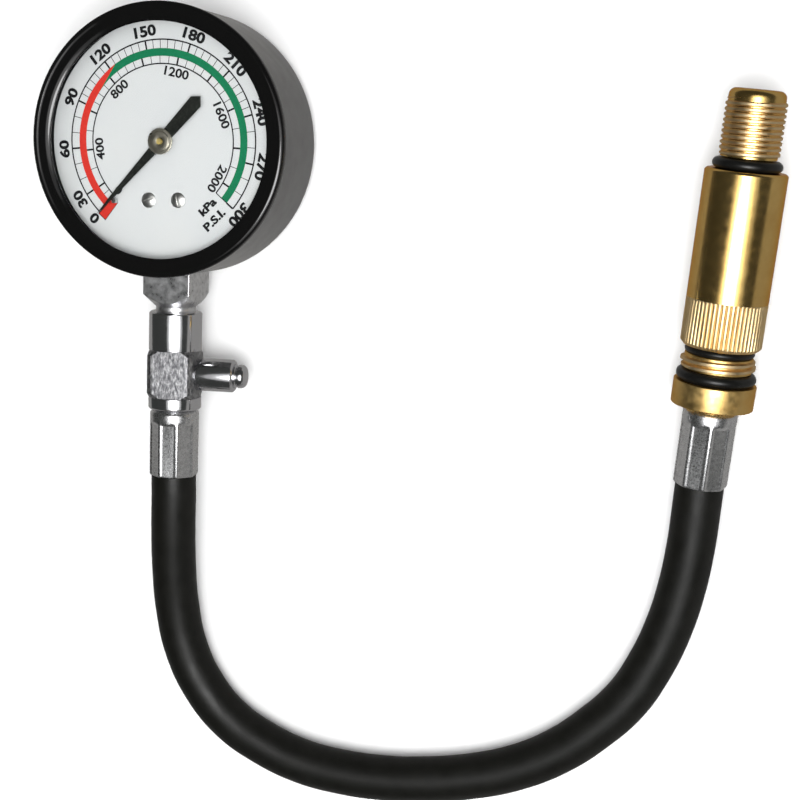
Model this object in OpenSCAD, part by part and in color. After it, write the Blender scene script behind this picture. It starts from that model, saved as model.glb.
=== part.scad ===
// Compression tester: a dial gauge with a relief valve, a rubber hose and a two-size spark plug hole adaptor.
// Units are millimetres. The origin is the centre of the gauge case's back face, and +Z points out of the dial.
// The gauge's stem runs along -Y, and the hose lies in a U on the table with the adaptor pointing towards +Y.

/* [Gauge case] */
// Outside diameter of the pressed steel drum
case_d = 67.6; // [62:0.1:74]
// Depth from the back face to the front rim
case_depth = 24; // [22:0.1:26]
// Thickness of the drum's side wall
case_wall = 1.2; // [1:0.1:1.3]
// Thickness of the drum's back
back_t = 1.6; // [1.4:0.1:1.8]
// Radius of the rounded back edge
back_edge_r = 3.4; // [3:0.1:3.6]
// How far the bezel stands out past the drum on each side
bezel_overhang = 0.2; // [0.1:0.05:0.3]
// Height of the bezel above the drum's rim
bezel_h = 2.1; // [2:0.05:2.3]
// How far the bezel's lip covers the lens
bezel_cover = 2.75; // [2.5:0.05:3]
// Radius of the bezel's outer front edge
bezel_edge_r = 0.9; // [0.7:0.1:1]
// Thickness of the bezel's skirt that enters the drum
bezel_skirt_t = 0.9; // [0.7:0.1:1]
// Gap between the bezel's skirt and the drum's wall
bezel_gap = 0.1; // [0.05:0.05:0.15]
// Thickness of the glass lens
lens_t = 1; // [0.8:0.1:1.2]
// Width of the rubber ring under the lens
gasket_w = 1; // [0.8:0.1:1.2]
// Height of the rubber ring under the lens
gasket_h = 0.6; // [0.5:0.05:0.7]
// Thickness of the rolled ledge that carries the rubber ring
ledge_t = 0.8; // [0.6:0.1:0.9]
// Thread diameter of the two screws through the case back
case_screw_d = 2; // [1.8:0.1:2.2]
// Head diameter of the countersunk case screws
case_screw_head_d = 3.8; // [3.6:0.1:4]
// Distance between the case screws
case_screw_gap = 7.6; // [7:0.2:8]

/* [Dial and pointer] */
// Thickness of the dial plate
dial_t = 0.8; // [0.6:0.05:0.9]
// Length of the posts that carry the dial plate
dial_post_len = 1.9; // [1.8:0.05:1.95]
// Distance between the two dial screws
dial_screw_gap = 8.06; // [8:0.02:8.3]
// Distance of the dial screws below the dial's centre
dial_screw_drop = 14.6; // [14.4:0.1:14.8]
// Head diameter of the dial screws
dial_screw_head_d = 3.5; // [3.2:0.1:3.7]
// Head height of the dial screws
dial_screw_head_h = 0.6; // [0.5:0.05:0.65]
// Turn of the dial plate in the case, anticlockwise seen from the front, in degrees
dial_turn = 2; // [1:0.5:3]
// Diameter of the stop pin
stop_pin_d = 1.2; // [1:0.1:1.4]
// Distance from the pointer's tip in to the stop pin
stop_pin_in = 5.9; // [5.6:0.1:6.2]
// Gap between the pointer's tip and the bezel's lip
pointer_lip_gap = 3.05; // [2.5:0.05:3.5]
// Reach of the pointer's tail
pointer_tail_r = 15.5; // [15:0.1:16]
// Thickness of the pointer
pointer_t = 0.3; // [0.25:0.05:0.35]
// Diameter of the hub's lower step
hub_d = 6.5; // [6:0.1:7]
// Diameter of the hub's upper step
hub_top_d = 5; // [4.6:0.1:5.4]

/* [Movement] */
// Thickness of each movement plate
plate_t = 1; // [0.9:0.05:1.1]
// Distance between the movement plates
plate_gap = 4; // [4:0.05:4.1]
// Diameter of the arbor ends that turn in the plates
arbor_d = 1.2; // [1.1:0.05:1.3]
// Radial running clearance of the arbors and the link's pin
arbor_gap = 0.05; // [0.03:0.01:0.07]
// Diameter of the pillars between the plates
pillar_d = 2.6; // [2.4:0.1:2.8]
// Thread diameter of the movement screws
plate_screw_d = 1.4; // [1.3:0.05:1.5]
// Distance between the pinion's centre and the sector's pivot
gear_centres = 15.4; // [15.4:0.02:15.48]
// Thickness of the sector gear
sector_t = 0.8; // [0.7:0.05:0.9]
// Length of the sector's tail from the pivot to the link pin
tail_len = 7; // [6.9:0.05:7.1]
// Length of the link between its holes
link_len = 9; // [8.9:0.05:9.1]
// Width of the link
link_w = 2.4; // [2.2:0.1:2.6]
// Room between the pressure tube's centre line and the case wall
tube_room = 9.1; // [8.8:0.1:9.6]
// Width of the pressure tube's flattened section
tube_w = 2.6; // [2.4:0.1:2.8]
// Height of the pressure tube's flattened section
tube_h = 8; // [7.6:0.1:8.2]
// Wall of the pressure tube
tube_wall = 0.3; // [0.25:0.05:0.35]

/* [Stem] */
// Distance of the stem's axis behind the drum's front rim
stem_back = 12; // [11.9:0.05:12.1]
// Size across the stem's square block
stem_sq = 12.8; // [12.6:0.1:13]
// Distance from the case centre to the end of the block's flats
stem_end = 41.15; // [40.5:0.05:41.5]
// Diameter of the turned neck below the block
neck_d = 10.4; // [10:0.1:10.8]
// Length of the chamfer between the block and the neck
neck_chamfer = 1.05; // [0.9:0.05:1.2]
// Length of the turned neck
neck_len = 1.3; // [1:0.1:1.6]
// Outside diameter of the stem's tapped end
stem_thread_d = 9.7; // [9.5:0.1:9.8]
// Length of the stem's threaded end
stem_thread_len = 10; // [9:0.5:10]
// Diameter of the gas passages
gas_d = 2.4; // [2:0.1:2.6]

/* [Relief valve] */
// Outside diameter of the valve body's two tubes
valve_tube_d = 13.8; // [13.6:0.1:14.2]
// Length of the upper tube
valve_top_len = 10.1; // [10:0.1:11]
// Diameter of the valve block before its flats are cut
valve_bar_d = 15.8; // [15.6:0.1:16.2]
// Distance of each flat from the stem's axis
valve_flat = 6.15; // [6.1:0.05:6.4]
// Length of the valve block
valve_block_len = 12.6; // [12.4:0.1:13]
// Length of the chamfer at each end of the block
valve_chamfer = 1.3; // [1:0.1:1.5]
// Length of the lower tube
valve_low_len = 3.1; // [3:0.1:3.6]
// Turn of the valve body about the stem, in degrees
valve_turn = 8; // [6:0.5:10]
// Outside diameter of the relief barrel
barrel_d = 8.6; // [8.4:0.1:8.9]
// Length of the relief barrel outside the block
barrel_len = 10.05; // [9.8:0.05:10.3]
// Diameter of the relief button
button_d = 6.2; // [6:0.1:6.4]
// How far the relief button stands out of its barrel
button_out = 3.3; // [3.1:0.1:3.6]
// Travel of the relief button
button_travel = 2.2; // [2:0.1:2.4]
// Radial sliding clearance of the relief button
button_gap = 0.05; // [0.03:0.01:0.08]

/* [Hose] */
// Outside diameter of the hose
hose_d = 11.8; // [11.6:0.1:12]
// Inside diameter of the hose
hose_bore_d = 5; // [4.9:0.05:5.1]
// Outside diameter of the ferrule at the gauge end
gauge_ferrule_d = 12.8; // [12.7:0.1:13]
// Length of the ferrule at the gauge end
gauge_ferrule_len = 17.8; // [17.4:0.1:18.2]
// Outside diameter of the ferrule at the adaptor end
far_ferrule_d = 13.1; // [12.9:0.1:13.3]
// Length of the ferrule at the adaptor end
far_ferrule_len = 19.2; // [18.8:0.1:19.4]
// Width of the raised ridges between the crimped panels
ridge_w = 0.7; // [0.5:0.1:0.9]
// Depth of the crimped panels below the ridges
crimp_depth = 0.3; // [0.2:0.05:0.35]
// Length of the round shoulder above the crimped panels
shoulder_len = 4; // [3.5:0.1:4.5]

/* [Adaptor] */
// Diameter of the brass flange
flange_d = 19.65; // [19.6:0.05:20]
// Thickness of the brass flange
flange_t = 5.9; // [5.6:0.1:6.2]
// Radius of the flange's edge on the hose side
flange_edge_r = 1; // [0.8:0.1:1.2]
// Gap between the ferrule and the flange
flange_gap = 0.8; // [0.6:0.1:1]
// Crest diameter of the large thread
big_thread_d = 17.9; // [17.8:0.05:18]
// Pitch of the large thread
big_pitch = 1.5; // [1.45:0.05:1.5]
// Length of the large thread
big_thread_len = 3.84; // [3.8:0.02:4]
// Section of the large seal ring
big_ring_w = 2.76; // [2.7:0.02:2.8]
// Outside diameter of the large seal ring
big_ring_d = 19; // [18.9:0.05:19.1]
// Section of the small seal ring under the sleeve
spigot_ring_w = 1.8; // [1.75:0.05:1.85]
// Outside diameter of the small seal ring under the sleeve
spigot_ring_d = 16.6; // [16.4:0.1:16.8]
// Diameter of the sleeve
sleeve_d = 19.2; // [19:0.1:19.4]
// Length of the sleeve's plain and knurled body
sleeve_len = 41.7; // [41:0.1:42.5]
// Length of the knurled band
knurl_len = 10.4; // [10:0.1:11]
// Number of knurl grooves
knurl_count = 54; // [48:1:60]
// Depth of the knurl grooves
knurl_depth = 0.35; // [0.25:0.05:0.4]
// Crest diameter of the small thread
small_thread_d = 14; // [13.9:0.05:14]
// Pitch of the small thread
small_pitch = 1.25; // [1.2:0.05:1.25]
// Section of the seal ring at the sleeve's tip
tip_ring_w = 2.6; // [2.5:0.05:2.7]
// Outside diameter of the seal ring at the sleeve's tip
tip_ring_d = 16.2; // [16.1:0.1:16.6]
// Length from the sleeve's end face to the tip
tip_len = 18.4; // [18:0.1:18.8]
// Radius of the tip's rounded corner
tip_corner_r = 2.5; // [2:0.1:2.6]
// Length of the small thread inside the sleeve
stub_len = 12.6; // [12:0.1:13]
// Diameter of the gas bore through the tip
tip_bore_d = 4; // [3.6:0.1:4.2]
// Travel of the check valve's pin
check_travel = 1.5; // [1.3:0.1:1.6]

/* [Hidden] */
$fn = 64;
e = 0.01;

// Case
stem_z = case_depth - stem_back;
case_r = case_d / 2;
case_in = case_r - case_wall;
in_edge_r = back_edge_r - case_wall;
back_flat_r = case_r - back_edge_r;
bezel_r = case_r + bezel_overhang;
bezel_top = case_depth + bezel_h;
skirt_r = case_in - bezel_gap;
skirt_in = skirt_r - bezel_skirt_t;
lens_r = skirt_in - bezel_gap;
lens_top = case_depth + lens_t;
ledge_z = case_depth - gasket_h - ledge_t;
ledge_in = lens_r - gasket_w - 0.1;
lip_r = lens_r - bezel_cover;
lip_t = 0.2;
window = stem_sq + 0.2;

// Socket foot
foot_front = 13.5;
foot_far = sqrt(back_flat_r * back_flat_r - stem_sq * stem_sq / 4) - 0.2;
head_top = stem_z + 1;
case_screw_y = foot_far - 1.9;
case_screw_len = 6.5;
case_screw_hole_d = case_screw_d + 0.1;

// Movement heights
back_plate_z = head_top;
gear_space_z = back_plate_z + plate_t;
front_plate_z = gear_space_z + plate_gap;
front_plate_top = front_plate_z + plate_t;
arbor_low = back_plate_z - 0.1;
sector_z = gear_space_z + 1.4;
sector_top = sector_z + sector_t;
link_z = sector_top + 0.2;
link_t = 0.6;
link_pin_top = link_z + link_t + 0.2;
pinion_z = gear_space_z + 0.9;
pinion_h = 1.8;
spring_z = front_plate_z - 0.8;
spring_h = 0.5;
shoulder_low = gear_space_z + 0.1;
shoulder_top = front_plate_z - 0.1;
dial_z = front_plate_top + dial_post_len;
dial_top = dial_z + dial_t;
pointer_tip_r = lip_r - pointer_lip_gap;
stop_pin_r = pointer_tip_r - stop_pin_in;
pointer_z = dial_top + 0.8;
pointer_top = pointer_z + pointer_t;
hub_step = 0.5;
hub_step_top = 0.3;
hub_top = pointer_top + hub_step + hub_step_top;
shaft_top = hub_top + 0.15;
shaft_top_d = 1.5;
dial_hole_d = 4;

// Gears
pinion_teeth = 14;
sector_circle_teeth = 140;
gear_module = 0.2 * gear_centres / 15.4;
pinion_r = gear_module * pinion_teeth / 2;
sector_r = gear_module * sector_circle_teeth / 2;
tooth_up = 0.16;
tooth_down = 0.26;
mesh_angle = -53.13;
sector_x = gear_centres * cos(mesh_angle);
sector_y = gear_centres * sin(mesh_angle);
sector_pitch = 360 / sector_circle_teeth;
tail_angle = -66.4;
tail_x = sector_x + tail_len * cos(tail_angle);
tail_y = sector_y + tail_len * sin(tail_angle);
link_angle = 36.87;
link_pin_r = 0.5;
tip_x = tail_x + link_len * cos(link_angle);
tip_y = tail_y + link_len * sin(link_angle);
open_hole_r = 0.8;
shoulder_r = 1.1;

// Movement outline, screw positions and dial screws
plate_edge = 21.2;
plate_outline = [[-7.6, -plate_edge], [6.4, -plate_edge], [13.2, -16.5], [13.2, -8.5], [6.5, 5.5], [-9, 5.5],
  [-9.5, 0], [-9.5, -8]];
pillar_at = [[-7.5, 3], [11.6, -4.6], [-5.2, -18.6], [2.6, -18.4]];
screw_head_r = 1.5;
screw_head_h = 0.7;
post_r = 2.2;
post_screw_r = 0.9;
spring_out_r = 4.6;
spring_in_r = 1.15;
spring_turns = 4;
spring_end = 200;

// Pressure tube
tube_r = case_in - tube_room;
tube_z = (back_t + head_top) / 2;
// The stem's block starts inside the tube's centre line and clear of the movement's plates
block_in = 2;
plate_clear = 0.3;
block_start = max(tube_r - block_in, plate_edge + plate_clear);
tube_start = -30;
tube_sweep = 295;
tip_piece_w = tube_w + 0.8;
tip_piece_h = tube_h + 0.6;
pin_r = norm([tip_x, tip_y]);
pin_angle = atan2(tip_y, tip_x);
pocket_gap = 0.1;

// Stem and valve, measured along the stem from the case centre
chamfer_end = stem_end + neck_chamfer;
neck_end = chamfer_end + neck_len;
stem_thread_end = neck_end + stem_thread_len;
thread_gap = 0.05;
valve_top_end = neck_end + valve_top_len;
block_end = valve_top_end + valve_block_len;
valve_end = block_end + valve_low_len;
valve_top_bore = stem_thread_d / 2 + thread_gap;
relief_s = (valve_top_end + block_end) / 2;
chamfer_r = valve_tube_d / 2 - 0.05;
barrel_r = barrel_d / 2;
barrel_end = valve_flat + barrel_len;
shank_r = 3;
shank_in = 1.8;
chamber_r = 2;
chamber_back = -2.7;
button_r = button_d / 2;
button_bore_r = button_r + button_gap;
button_in = barrel_end - 3.8;
button_bore_in = button_in - button_travel - 0.4;
button_tip = barrel_end + button_out;
relief_spring_in = 6.6;
relief_stem_r = 0.7;
poppet_r = 1.7;
nipple_thread_r = 3.45;
nipple_start = 64;

// Hose and its ferrules
hose_r = hose_d / 2;
hose_bore_r = hose_bore_d / 2;
squeezed_r = hose_r - 0.7;
ferrule_gap = 0.1;
ferrule_bore_r = squeezed_r + ferrule_gap;
ferrule_wall_t = 1;
tail_r = hose_bore_r - 0.25;
gauge_ferrule_s = valve_end + 0.1;
gauge_ferrule_end = gauge_ferrule_s + gauge_ferrule_len;
gauge_hose_s = gauge_ferrule_s + 2;
collar_r = 4.4;

// Adaptor frame: the point where the hose leaves the ferrule, the lean towards +X and the rise of the tip
adaptor_lean = 4.4;
adaptor_lift = 4;
flange_s = far_ferrule_len + flange_gap;
flange_r = flange_d / 2;
adaptor_z = (flange_r - flange_edge_r) * cos(adaptor_lift) + flange_edge_r
  - (flange_s + flange_edge_r) * sin(adaptor_lift);
adaptor_at = [137.2, -77.6, adaptor_z];
adaptor_dir = [cos(adaptor_lift) * sin(adaptor_lean), cos(adaptor_lift) * cos(adaptor_lean), sin(adaptor_lift)];
flange_end = flange_s + flange_t;
big_ring_s = flange_end + big_ring_w / 2;
big_root_r = big_ring_d / 2 - big_ring_w;
big_thread_s = flange_end + big_ring_w + 0.1;
big_thread_end = big_thread_s + big_thread_len;
spigot_root_r = spigot_ring_d / 2 - spigot_ring_w;
spigot_ring_s = big_thread_end + spigot_ring_w / 2;
sleeve_s = big_thread_end + spigot_ring_w + 0.05;
sleeve_end = sleeve_s + sleeve_len;
sleeve_r = sleeve_d / 2;
small_r = small_thread_d / 2;
small_depth = 0.65;
stub_start = sleeve_s + 0.3;
stub_end = stub_start + stub_len;
stub_r = small_r - 0.2;
sleeve_bore_r = stub_r + 0.05;
sleeve_bore_end = stub_end + 1.5;
sleeve_gas_r = 3;
tip_root_r = tip_ring_d / 2 - tip_ring_w;
tip_ring_s = sleeve_end + tip_ring_w / 2;
tip_thread_s = sleeve_end + tip_ring_w + 0.2;
tip_end = sleeve_end + tip_len;
tip_bore_r = tip_bore_d / 2;
far_hose_s = far_ferrule_len - 2.8;

// Check valve inside the stub
check_top = stub_end - 0.6;
check_r = 2.6;
check_body_len = 8;
check_low = check_top - check_body_len;
check_pin_r = 0.45;
check_seat_r = 2.3;

// Height of the hose's centre line where it lies, and where it has risen some share of the way to its ends
lie_z = hose_r + 0.1;
function to_stem(share) = lie_z + share * (stem_z - lie_z);
function to_adaptor(share) = lie_z + share * (adaptor_z - lie_z);

// Centre line of the hose where it is free, from the gauge's ferrule to the adaptor's ferrule
hose_route = [[0, -92, to_stem(0.97)], [-0.4, -100.6, to_stem(0.83)], [-0.8, -112.8, to_stem(0.55)],
  [-0.4, -125.2, to_stem(0.25)], [1.9, -137, to_stem(0.07)], [7.2, -147.5, lie_z], [15.2, -155.9, lie_z],
  [25.3, -161.5, lie_z], [36.5, -165.1, lie_z], [48.2, -166.4, lie_z], [59, -166.3, lie_z],
  [69.6, -165.1, lie_z], [85.2, -161.6, lie_z], [96.1, -157.5, lie_z], [106.1, -151.7, lie_z],
  [114.9, -144.2, lie_z], [122.5, -135.7, lie_z], [128, -125.8, lie_z], [132, -115.2, to_adaptor(0.05)],
  [134.6, -104.3, to_adaptor(0.2)], [136.1, -93.4, to_adaptor(0.5)]];
hose_sides = 12;
hose_steps = 2;

// Places children along the stem: their Z runs from the case centre towards -Y
module on_stem() {
  translate([0, 0, stem_z])
    rotate([90, 0, 0])
      children();
}

// Places children in the valve body's frame, with X through the relief barrel
module on_valve() {
  on_stem()
    rotate([0, 0, -valve_turn])
      children();
}

// Places children along the relief barrel: their Z runs out of the button
module on_relief() {
  on_valve()
    translate([0, 0, relief_s])
      rotate([0, 90, 0])
        children();
}

// Places children along the adaptor: their Z runs from the hose to the tip
module on_adaptor() {
  translate(adaptor_at)
    rotate([0, 90 - adaptor_lift, 90 - adaptor_lean])
      children();
}

// A cylinder from z0 to z1
module rod(r, z0, z1) {
  translate([0, 0, z0])
    cylinder(r = r, h = z1 - z0);
}

// A tube from z0 to z1
module tube(r, r_in, z0, z1) {
  difference() {
    rod(r, z0, z1);
    rod(r_in, z0 - 1, z1 + 1);
  }
}

// A solid of revolution from a profile of radius and height pairs
module turned(points) {
  rotate_extrude()
    polygon(points);
}

// A round seal ring from its outside diameter, section and middle height
module ring(d, w, z) {
  translate([0, 0, z])
    rotate_extrude()
      translate([(d - w) / 2, 0])
        circle(d = w);
}

// A thread drawn as crests with grooves between them, from z0 to z1, the first crest that share of a pitch in
module crests(r, depth, pitch, z0, z1, first) {
  root = r - depth;
  count = floor((z1 - z0) / pitch - first - 0.3 + 0.001);
  rod(root, z0, z1);
  intersection() {
    rod(r + 1, z0, z1);
    for (i = [0 : count])
      crest(r, root, pitch, z0 + pitch * (first + i));
  }
}

// One crest ring of a thread, centred on height c
module crest(r, root, pitch, c) {
  turned([[0, c - pitch * 0.46], [root, c - pitch * 0.46], [r, c - pitch * 0.11], [r, c + pitch * 0.11],
    [root, c + pitch * 0.46], [0, c + pitch * 0.46]]);
}

// A slotted screw head standing on z with a slot across it
module slotted_head(r, h, slot_w, turn) {
  difference() {
    cylinder(r = r, h = h);
    rotate([0, 0, turn])
      translate([-r - 1, -slot_w / 2, h - 0.3])
        cube([2 * r + 2, slot_w, 1]);
  }
}

// A flat ring-shaped coil spring drawn as rings joined by a thin wall, from z0 to z1
module coil(r, wire, turns, z0, z1) {
  gap = (z1 - z0 - wire) / (turns - 1);
  for (i = [0 : turns - 1])
    ring(2 * r + wire, wire, z0 + wire / 2 + i * gap);
  translate([r - wire / 4, -wire / 4, z0 + wire / 2])
    cube([wire / 2, wire / 2, z1 - z0 - wire]);
}

// One gear tooth along +X, from below the root to the tip
module tooth(r_root, r_tip, w_root, w_tip) {
  polygon([[r_root - 0.1, -w_root / 2], [r_tip, -w_tip / 2], [r_tip, w_tip / 2], [r_root - 0.1, w_root / 2]]);
}

// A stadium shape of width w and height h about the origin
module stadium(w, h) {
  square([w, h - w], center = true);
  translate([0, (h - w) / 2])
    circle(d = w);
  translate([0, -(h - w) / 2])
    circle(d = w);
}

// Drawn steel case with its ledge and stem window
module case() {
  color([0.04, 0.04, 0.045])
    difference() {
      rotate_extrude()
        difference() {
          union() {
            polygon([[0, 0], [back_flat_r, 0], [case_r, back_edge_r], [case_r, case_depth - 0.3],
              [case_r - 0.3, case_depth], [0, case_depth]]);
            translate([back_flat_r, back_edge_r])
              circle(r = back_edge_r);
          }
          difference() {
            union() {
              polygon([[-1, back_t], [case_in - in_edge_r, back_t], [case_in, back_t + in_edge_r],
                [case_in, case_depth + 1], [-1, case_depth + 1]]);
              translate([case_in - in_edge_r, back_t + in_edge_r])
                circle(r = in_edge_r);
            }
            translate([ledge_in, ledge_z])
              square([case_in - ledge_in + 1, ledge_t]);
          }
        }
      translate([-window / 2, -case_r - 2, stem_z - window / 2])
        cube([window, 6, window]);
      for (x = [-1, 1])
        translate([x * case_screw_gap / 2, -case_screw_y, -1])
          case_screw_shape(0.05);
    }
}

// Countersunk screw pointing up from the case back, grown by a gap
module case_screw_shape(gap) {
  r = case_screw_d / 2 + gap;
  head = case_screw_head_d / 2 + gap;
  turned([[0, 0], [head, 0], [head, 1], [r, 1 + head - r], [r, 1 + case_screw_len], [0, 1 + case_screw_len]]);
}

module case_screws() {
  color([0.7, 0.7, 0.7])
    for (x = [-1, 1])
      translate([x * case_screw_gap / 2, -case_screw_y, 0])
        difference() {
          translate([0, 0, -1])
            case_screw_shape(0);
          translate([-5, -5, -9])
            cube([10, 10, 9]);
          translate([-3, -0.25, -1])
            cube([6, 0.5, 1.4]);
        }
}

// Front ring that holds the lens
module bezel() {
  color([0.02, 0.02, 0.022])
    rotate_extrude() {
      polygon([[bezel_r, case_depth], [bezel_r, bezel_top - bezel_edge_r], [bezel_r - bezel_edge_r, bezel_top],
        [bezel_r - bezel_edge_r - 0.4, bezel_top], [bezel_r - bezel_edge_r - 0.6, bezel_top - 0.2],
        [lip_r + 1.25, bezel_top - 0.35], [lip_r, lens_top + lip_t], [lip_r, lens_top], [skirt_in, lens_top],
        [skirt_in, case_depth - 0.55], [skirt_r, case_depth - 0.55], [skirt_r, case_depth]]);
      translate([bezel_r - bezel_edge_r, bezel_top - bezel_edge_r])
        circle(r = bezel_edge_r);
    }
}

module lens() {
  color([0.9, 0.95, 1, 0.3])
    rod(lens_r, case_depth, lens_top);
}

module lens_gasket() {
  color([0.1, 0.1, 0.1])
    tube(lens_r, lens_r - gasket_w, case_depth - gasket_h, case_depth);
}

// Printed dial plate with its shaft hole, screw holes and stop pin hole
module dial_plate() {
  color([0.88, 0.88, 0.9])
    difference() {
      rod(ledge_in - 0.2, dial_z, dial_top);
      rod(dial_hole_d / 2, dial_z - 1, dial_top + 1);
      at_dial_screws()
        rod(post_screw_r + 0.1, dial_z - 1, dial_top + 1);
      at_stop_pin()
        rod(stop_pin_d / 2 - 0.1, dial_z - 1, dial_top + 1);
    }
}

module at_dial_screws() {
  for (x = [-1, 1])
    rotate([0, 0, dial_turn])
      translate([x * dial_screw_gap / 2, -dial_screw_drop, 0])
        children();
}

module at_stop_pin() {
  rotate([0, 0, dial_turn - 41.4])
    translate([0, -stop_pin_r, 0])
      children();
}

module dial_screws() {
  color([0.75, 0.74, 0.7])
    at_dial_screws() {
      translate([0, 0, dial_top])
        slotted_head(dial_screw_head_d / 2, dial_screw_head_h, 0.5, 40);
      rod(post_screw_r, front_plate_top + 0.3, dial_top + e);
    }
}

module stop_pin() {
  color([0.75, 0.74, 0.7])
    at_stop_pin() {
      rod(stop_pin_d / 2, dial_top, pointer_top + 0.5);
      rod(stop_pin_d / 2 - 0.15, dial_z, dial_top + e);
    }
}

// Flat pointer at its zero rest: 43 degrees clockwise from straight down
module pointer() {
  color([0.02, 0.02, 0.02])
    rotate([0, 0, -43])
      translate([0, 0, pointer_z])
        difference() {
          linear_extrude(pointer_t) {
            polygon([[-1.3, 0], [-0.45, -20], [0, -pointer_tip_r], [0.45, -20], [1.3, 0]]);
            polygon([[-1.4, 0], [1.4, 0], [1.8, pointer_tail_r - 1.8], [0, pointer_tail_r],
              [-1.8, pointer_tail_r - 1.8]]);
            circle(r = hub_d / 2 - 0.4);
          }
          rod(1.25, -1, 1);
        }
}

module pointer_hub() {
  color([0.72, 0.66, 0.5])
    difference() {
      union() {
        rod(1.2, pointer_z - 0.2, pointer_top + e);
        rod(hub_d / 2, pointer_top, pointer_top + hub_step);
        rod(hub_top_d / 2, pointer_top + hub_step - e, hub_top);
      }
      rod(shaft_top_d / 2 + 0.03, pointer_z - 1, hub_top + 1);
    }
}

// Pointer shaft with its pinion
module pinion_shaft() {
  color([0.8, 0.68, 0.35]) {
    rod(arbor_d / 2, arbor_low, front_plate_top + 0.2 + e);
    rod(1, shoulder_low, shoulder_top);
    rod(shaft_top_d / 2, front_plate_top + 0.2, shaft_top);
    translate([0, 0, pinion_z])
      linear_extrude(pinion_h) {
        circle(r = pinion_r - tooth_down);
        for (i = [0 : pinion_teeth - 1])
          rotate(mesh_angle + i * 360 / pinion_teeth)
            tooth(pinion_r - tooth_down, pinion_r + tooth_up, 0.26, 0.12);
      }
  }
}

// Toothed sector with its tail and link pin
module sector_gear() {
  color([0.78, 0.66, 0.36])
    translate([sector_x, sector_y, 0]) {
      difference() {
        translate([0, 0, sector_z])
          linear_extrude(sector_t) {
            circle(r = 1.9);
            difference() {
              intersection() {
                circle(r = sector_r - tooth_down);
                polygon([[0, 0], sector_edge(95.6), sector_edge(113.6), sector_edge(131.6)]);
              }
              intersection() {
                circle(r = sector_r - 2.2);
                polygon([[0, 0], sector_edge(100), sector_edge(113.6), sector_edge(127)]);
              }
            }
            for (i = [-12 : 1])
              rotate(180 + mesh_angle + (i + 0.5) * sector_pitch)
                tooth(sector_r - tooth_down, sector_r + tooth_up, 0.26, 0.12);
            rotate(tail_angle)
              translate([0, -1])
                square([tail_len, 2]);
            rotate(tail_angle)
              translate([tail_len, 0])
                circle(r = 1.2);
          }
        rod(shoulder_r + 0.05, sector_z - 1, sector_top + 1);
      }
      rotate([0, 0, tail_angle])
        translate([tail_len, 0, 0])
          rod(link_pin_r, sector_top - e, link_pin_top);
    }
}

function sector_edge(a) = 1.4 * sector_r * [cos(a), sin(a)];

module sector_arbor() {
  color([0.75, 0.75, 0.75])
    translate([sector_x, sector_y, 0]) {
      rod(arbor_d / 2, arbor_low, front_plate_top + 0.1);
      rod(shoulder_r, shoulder_low, shoulder_top);
    }
}

// Holes that every movement plate has
module plate_holes() {
  circle(r = arbor_d / 2 + arbor_gap);
  translate([sector_x, sector_y])
    circle(r = arbor_d / 2 + arbor_gap);
  for (p = pillar_at)
    translate(p)
      circle(r = plate_screw_d / 2 + 0.05);
}

module movement_back_plate() {
  color([0.8, 0.68, 0.35])
    translate([0, 0, back_plate_z])
      linear_extrude(plate_t)
        difference() {
          polygon(plate_outline);
          plate_holes();
        }
}

// Front plate with its two dial posts and the hairspring's stud
module movement_front_plate() {
  color([0.8, 0.68, 0.35]) {
    translate([0, 0, front_plate_z])
      linear_extrude(plate_t)
        difference() {
          polygon(plate_outline);
          plate_holes();
        }
    at_dial_screws()
      tube(post_r, post_screw_r + 0.05, front_plate_top - e, dial_z);
    rotate([0, 0, spring_end])
      translate([spring_out_r + 0.6, 0, 0])
        rod(0.5, spring_z - 0.1, front_plate_z + e);
  }
}

module movement_pillars() {
  color([0.8, 0.68, 0.35])
    for (p = pillar_at)
      translate(p)
        tube(pillar_d / 2, plate_screw_d / 2 + 0.05, gear_space_z, front_plate_z);
}

module movement_screws() {
  color([0.72, 0.72, 0.72])
    for (i = [0 : 3])
      translate(pillar_at[i]) {
        rod(plate_screw_d / 2, i < 2 ? back_plate_z + 0.1 : head_top - 4, front_plate_top + e);
        translate([0, 0, front_plate_top])
          slotted_head(screw_head_r, screw_head_h, 0.4, 30 + 50 * i);
      }
}

// Flat spiral spring around the pointer shaft
module hairspring() {
  steps = spring_turns * 20;
  inner = [for (i = [0 : steps]) spiral_point(i, steps, -0.08)];
  outer = [for (i = [steps : -1 : 0]) spiral_point(i, steps, 0.08)];
  color([0.7, 0.7, 0.75])
    translate([0, 0, spring_z])
      linear_extrude(spring_h)
        polygon(concat(inner, outer));
}

function spiral_point(i, steps, shift) =
  let (a = spring_end - 360 * spring_turns * (1 - i / steps),
    r = spring_in_r + (spring_out_r - spring_in_r) * i / steps + shift)
  [r * cos(a), r * sin(a)];

// Flattened pressure tube, curved from the socket round to its free end
module bourdon_tube() {
  color([0.76, 0.62, 0.32])
    translate([0, 0, tube_z])
      rotate([0, 0, tube_start])
        rotate_extrude(angle = tube_sweep)
          translate([tube_r, 0])
            difference() {
              stadium(tube_w, tube_h);
              stadium(tube_w - 2 * tube_wall, tube_h - 2 * tube_wall);
            }
}

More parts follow.
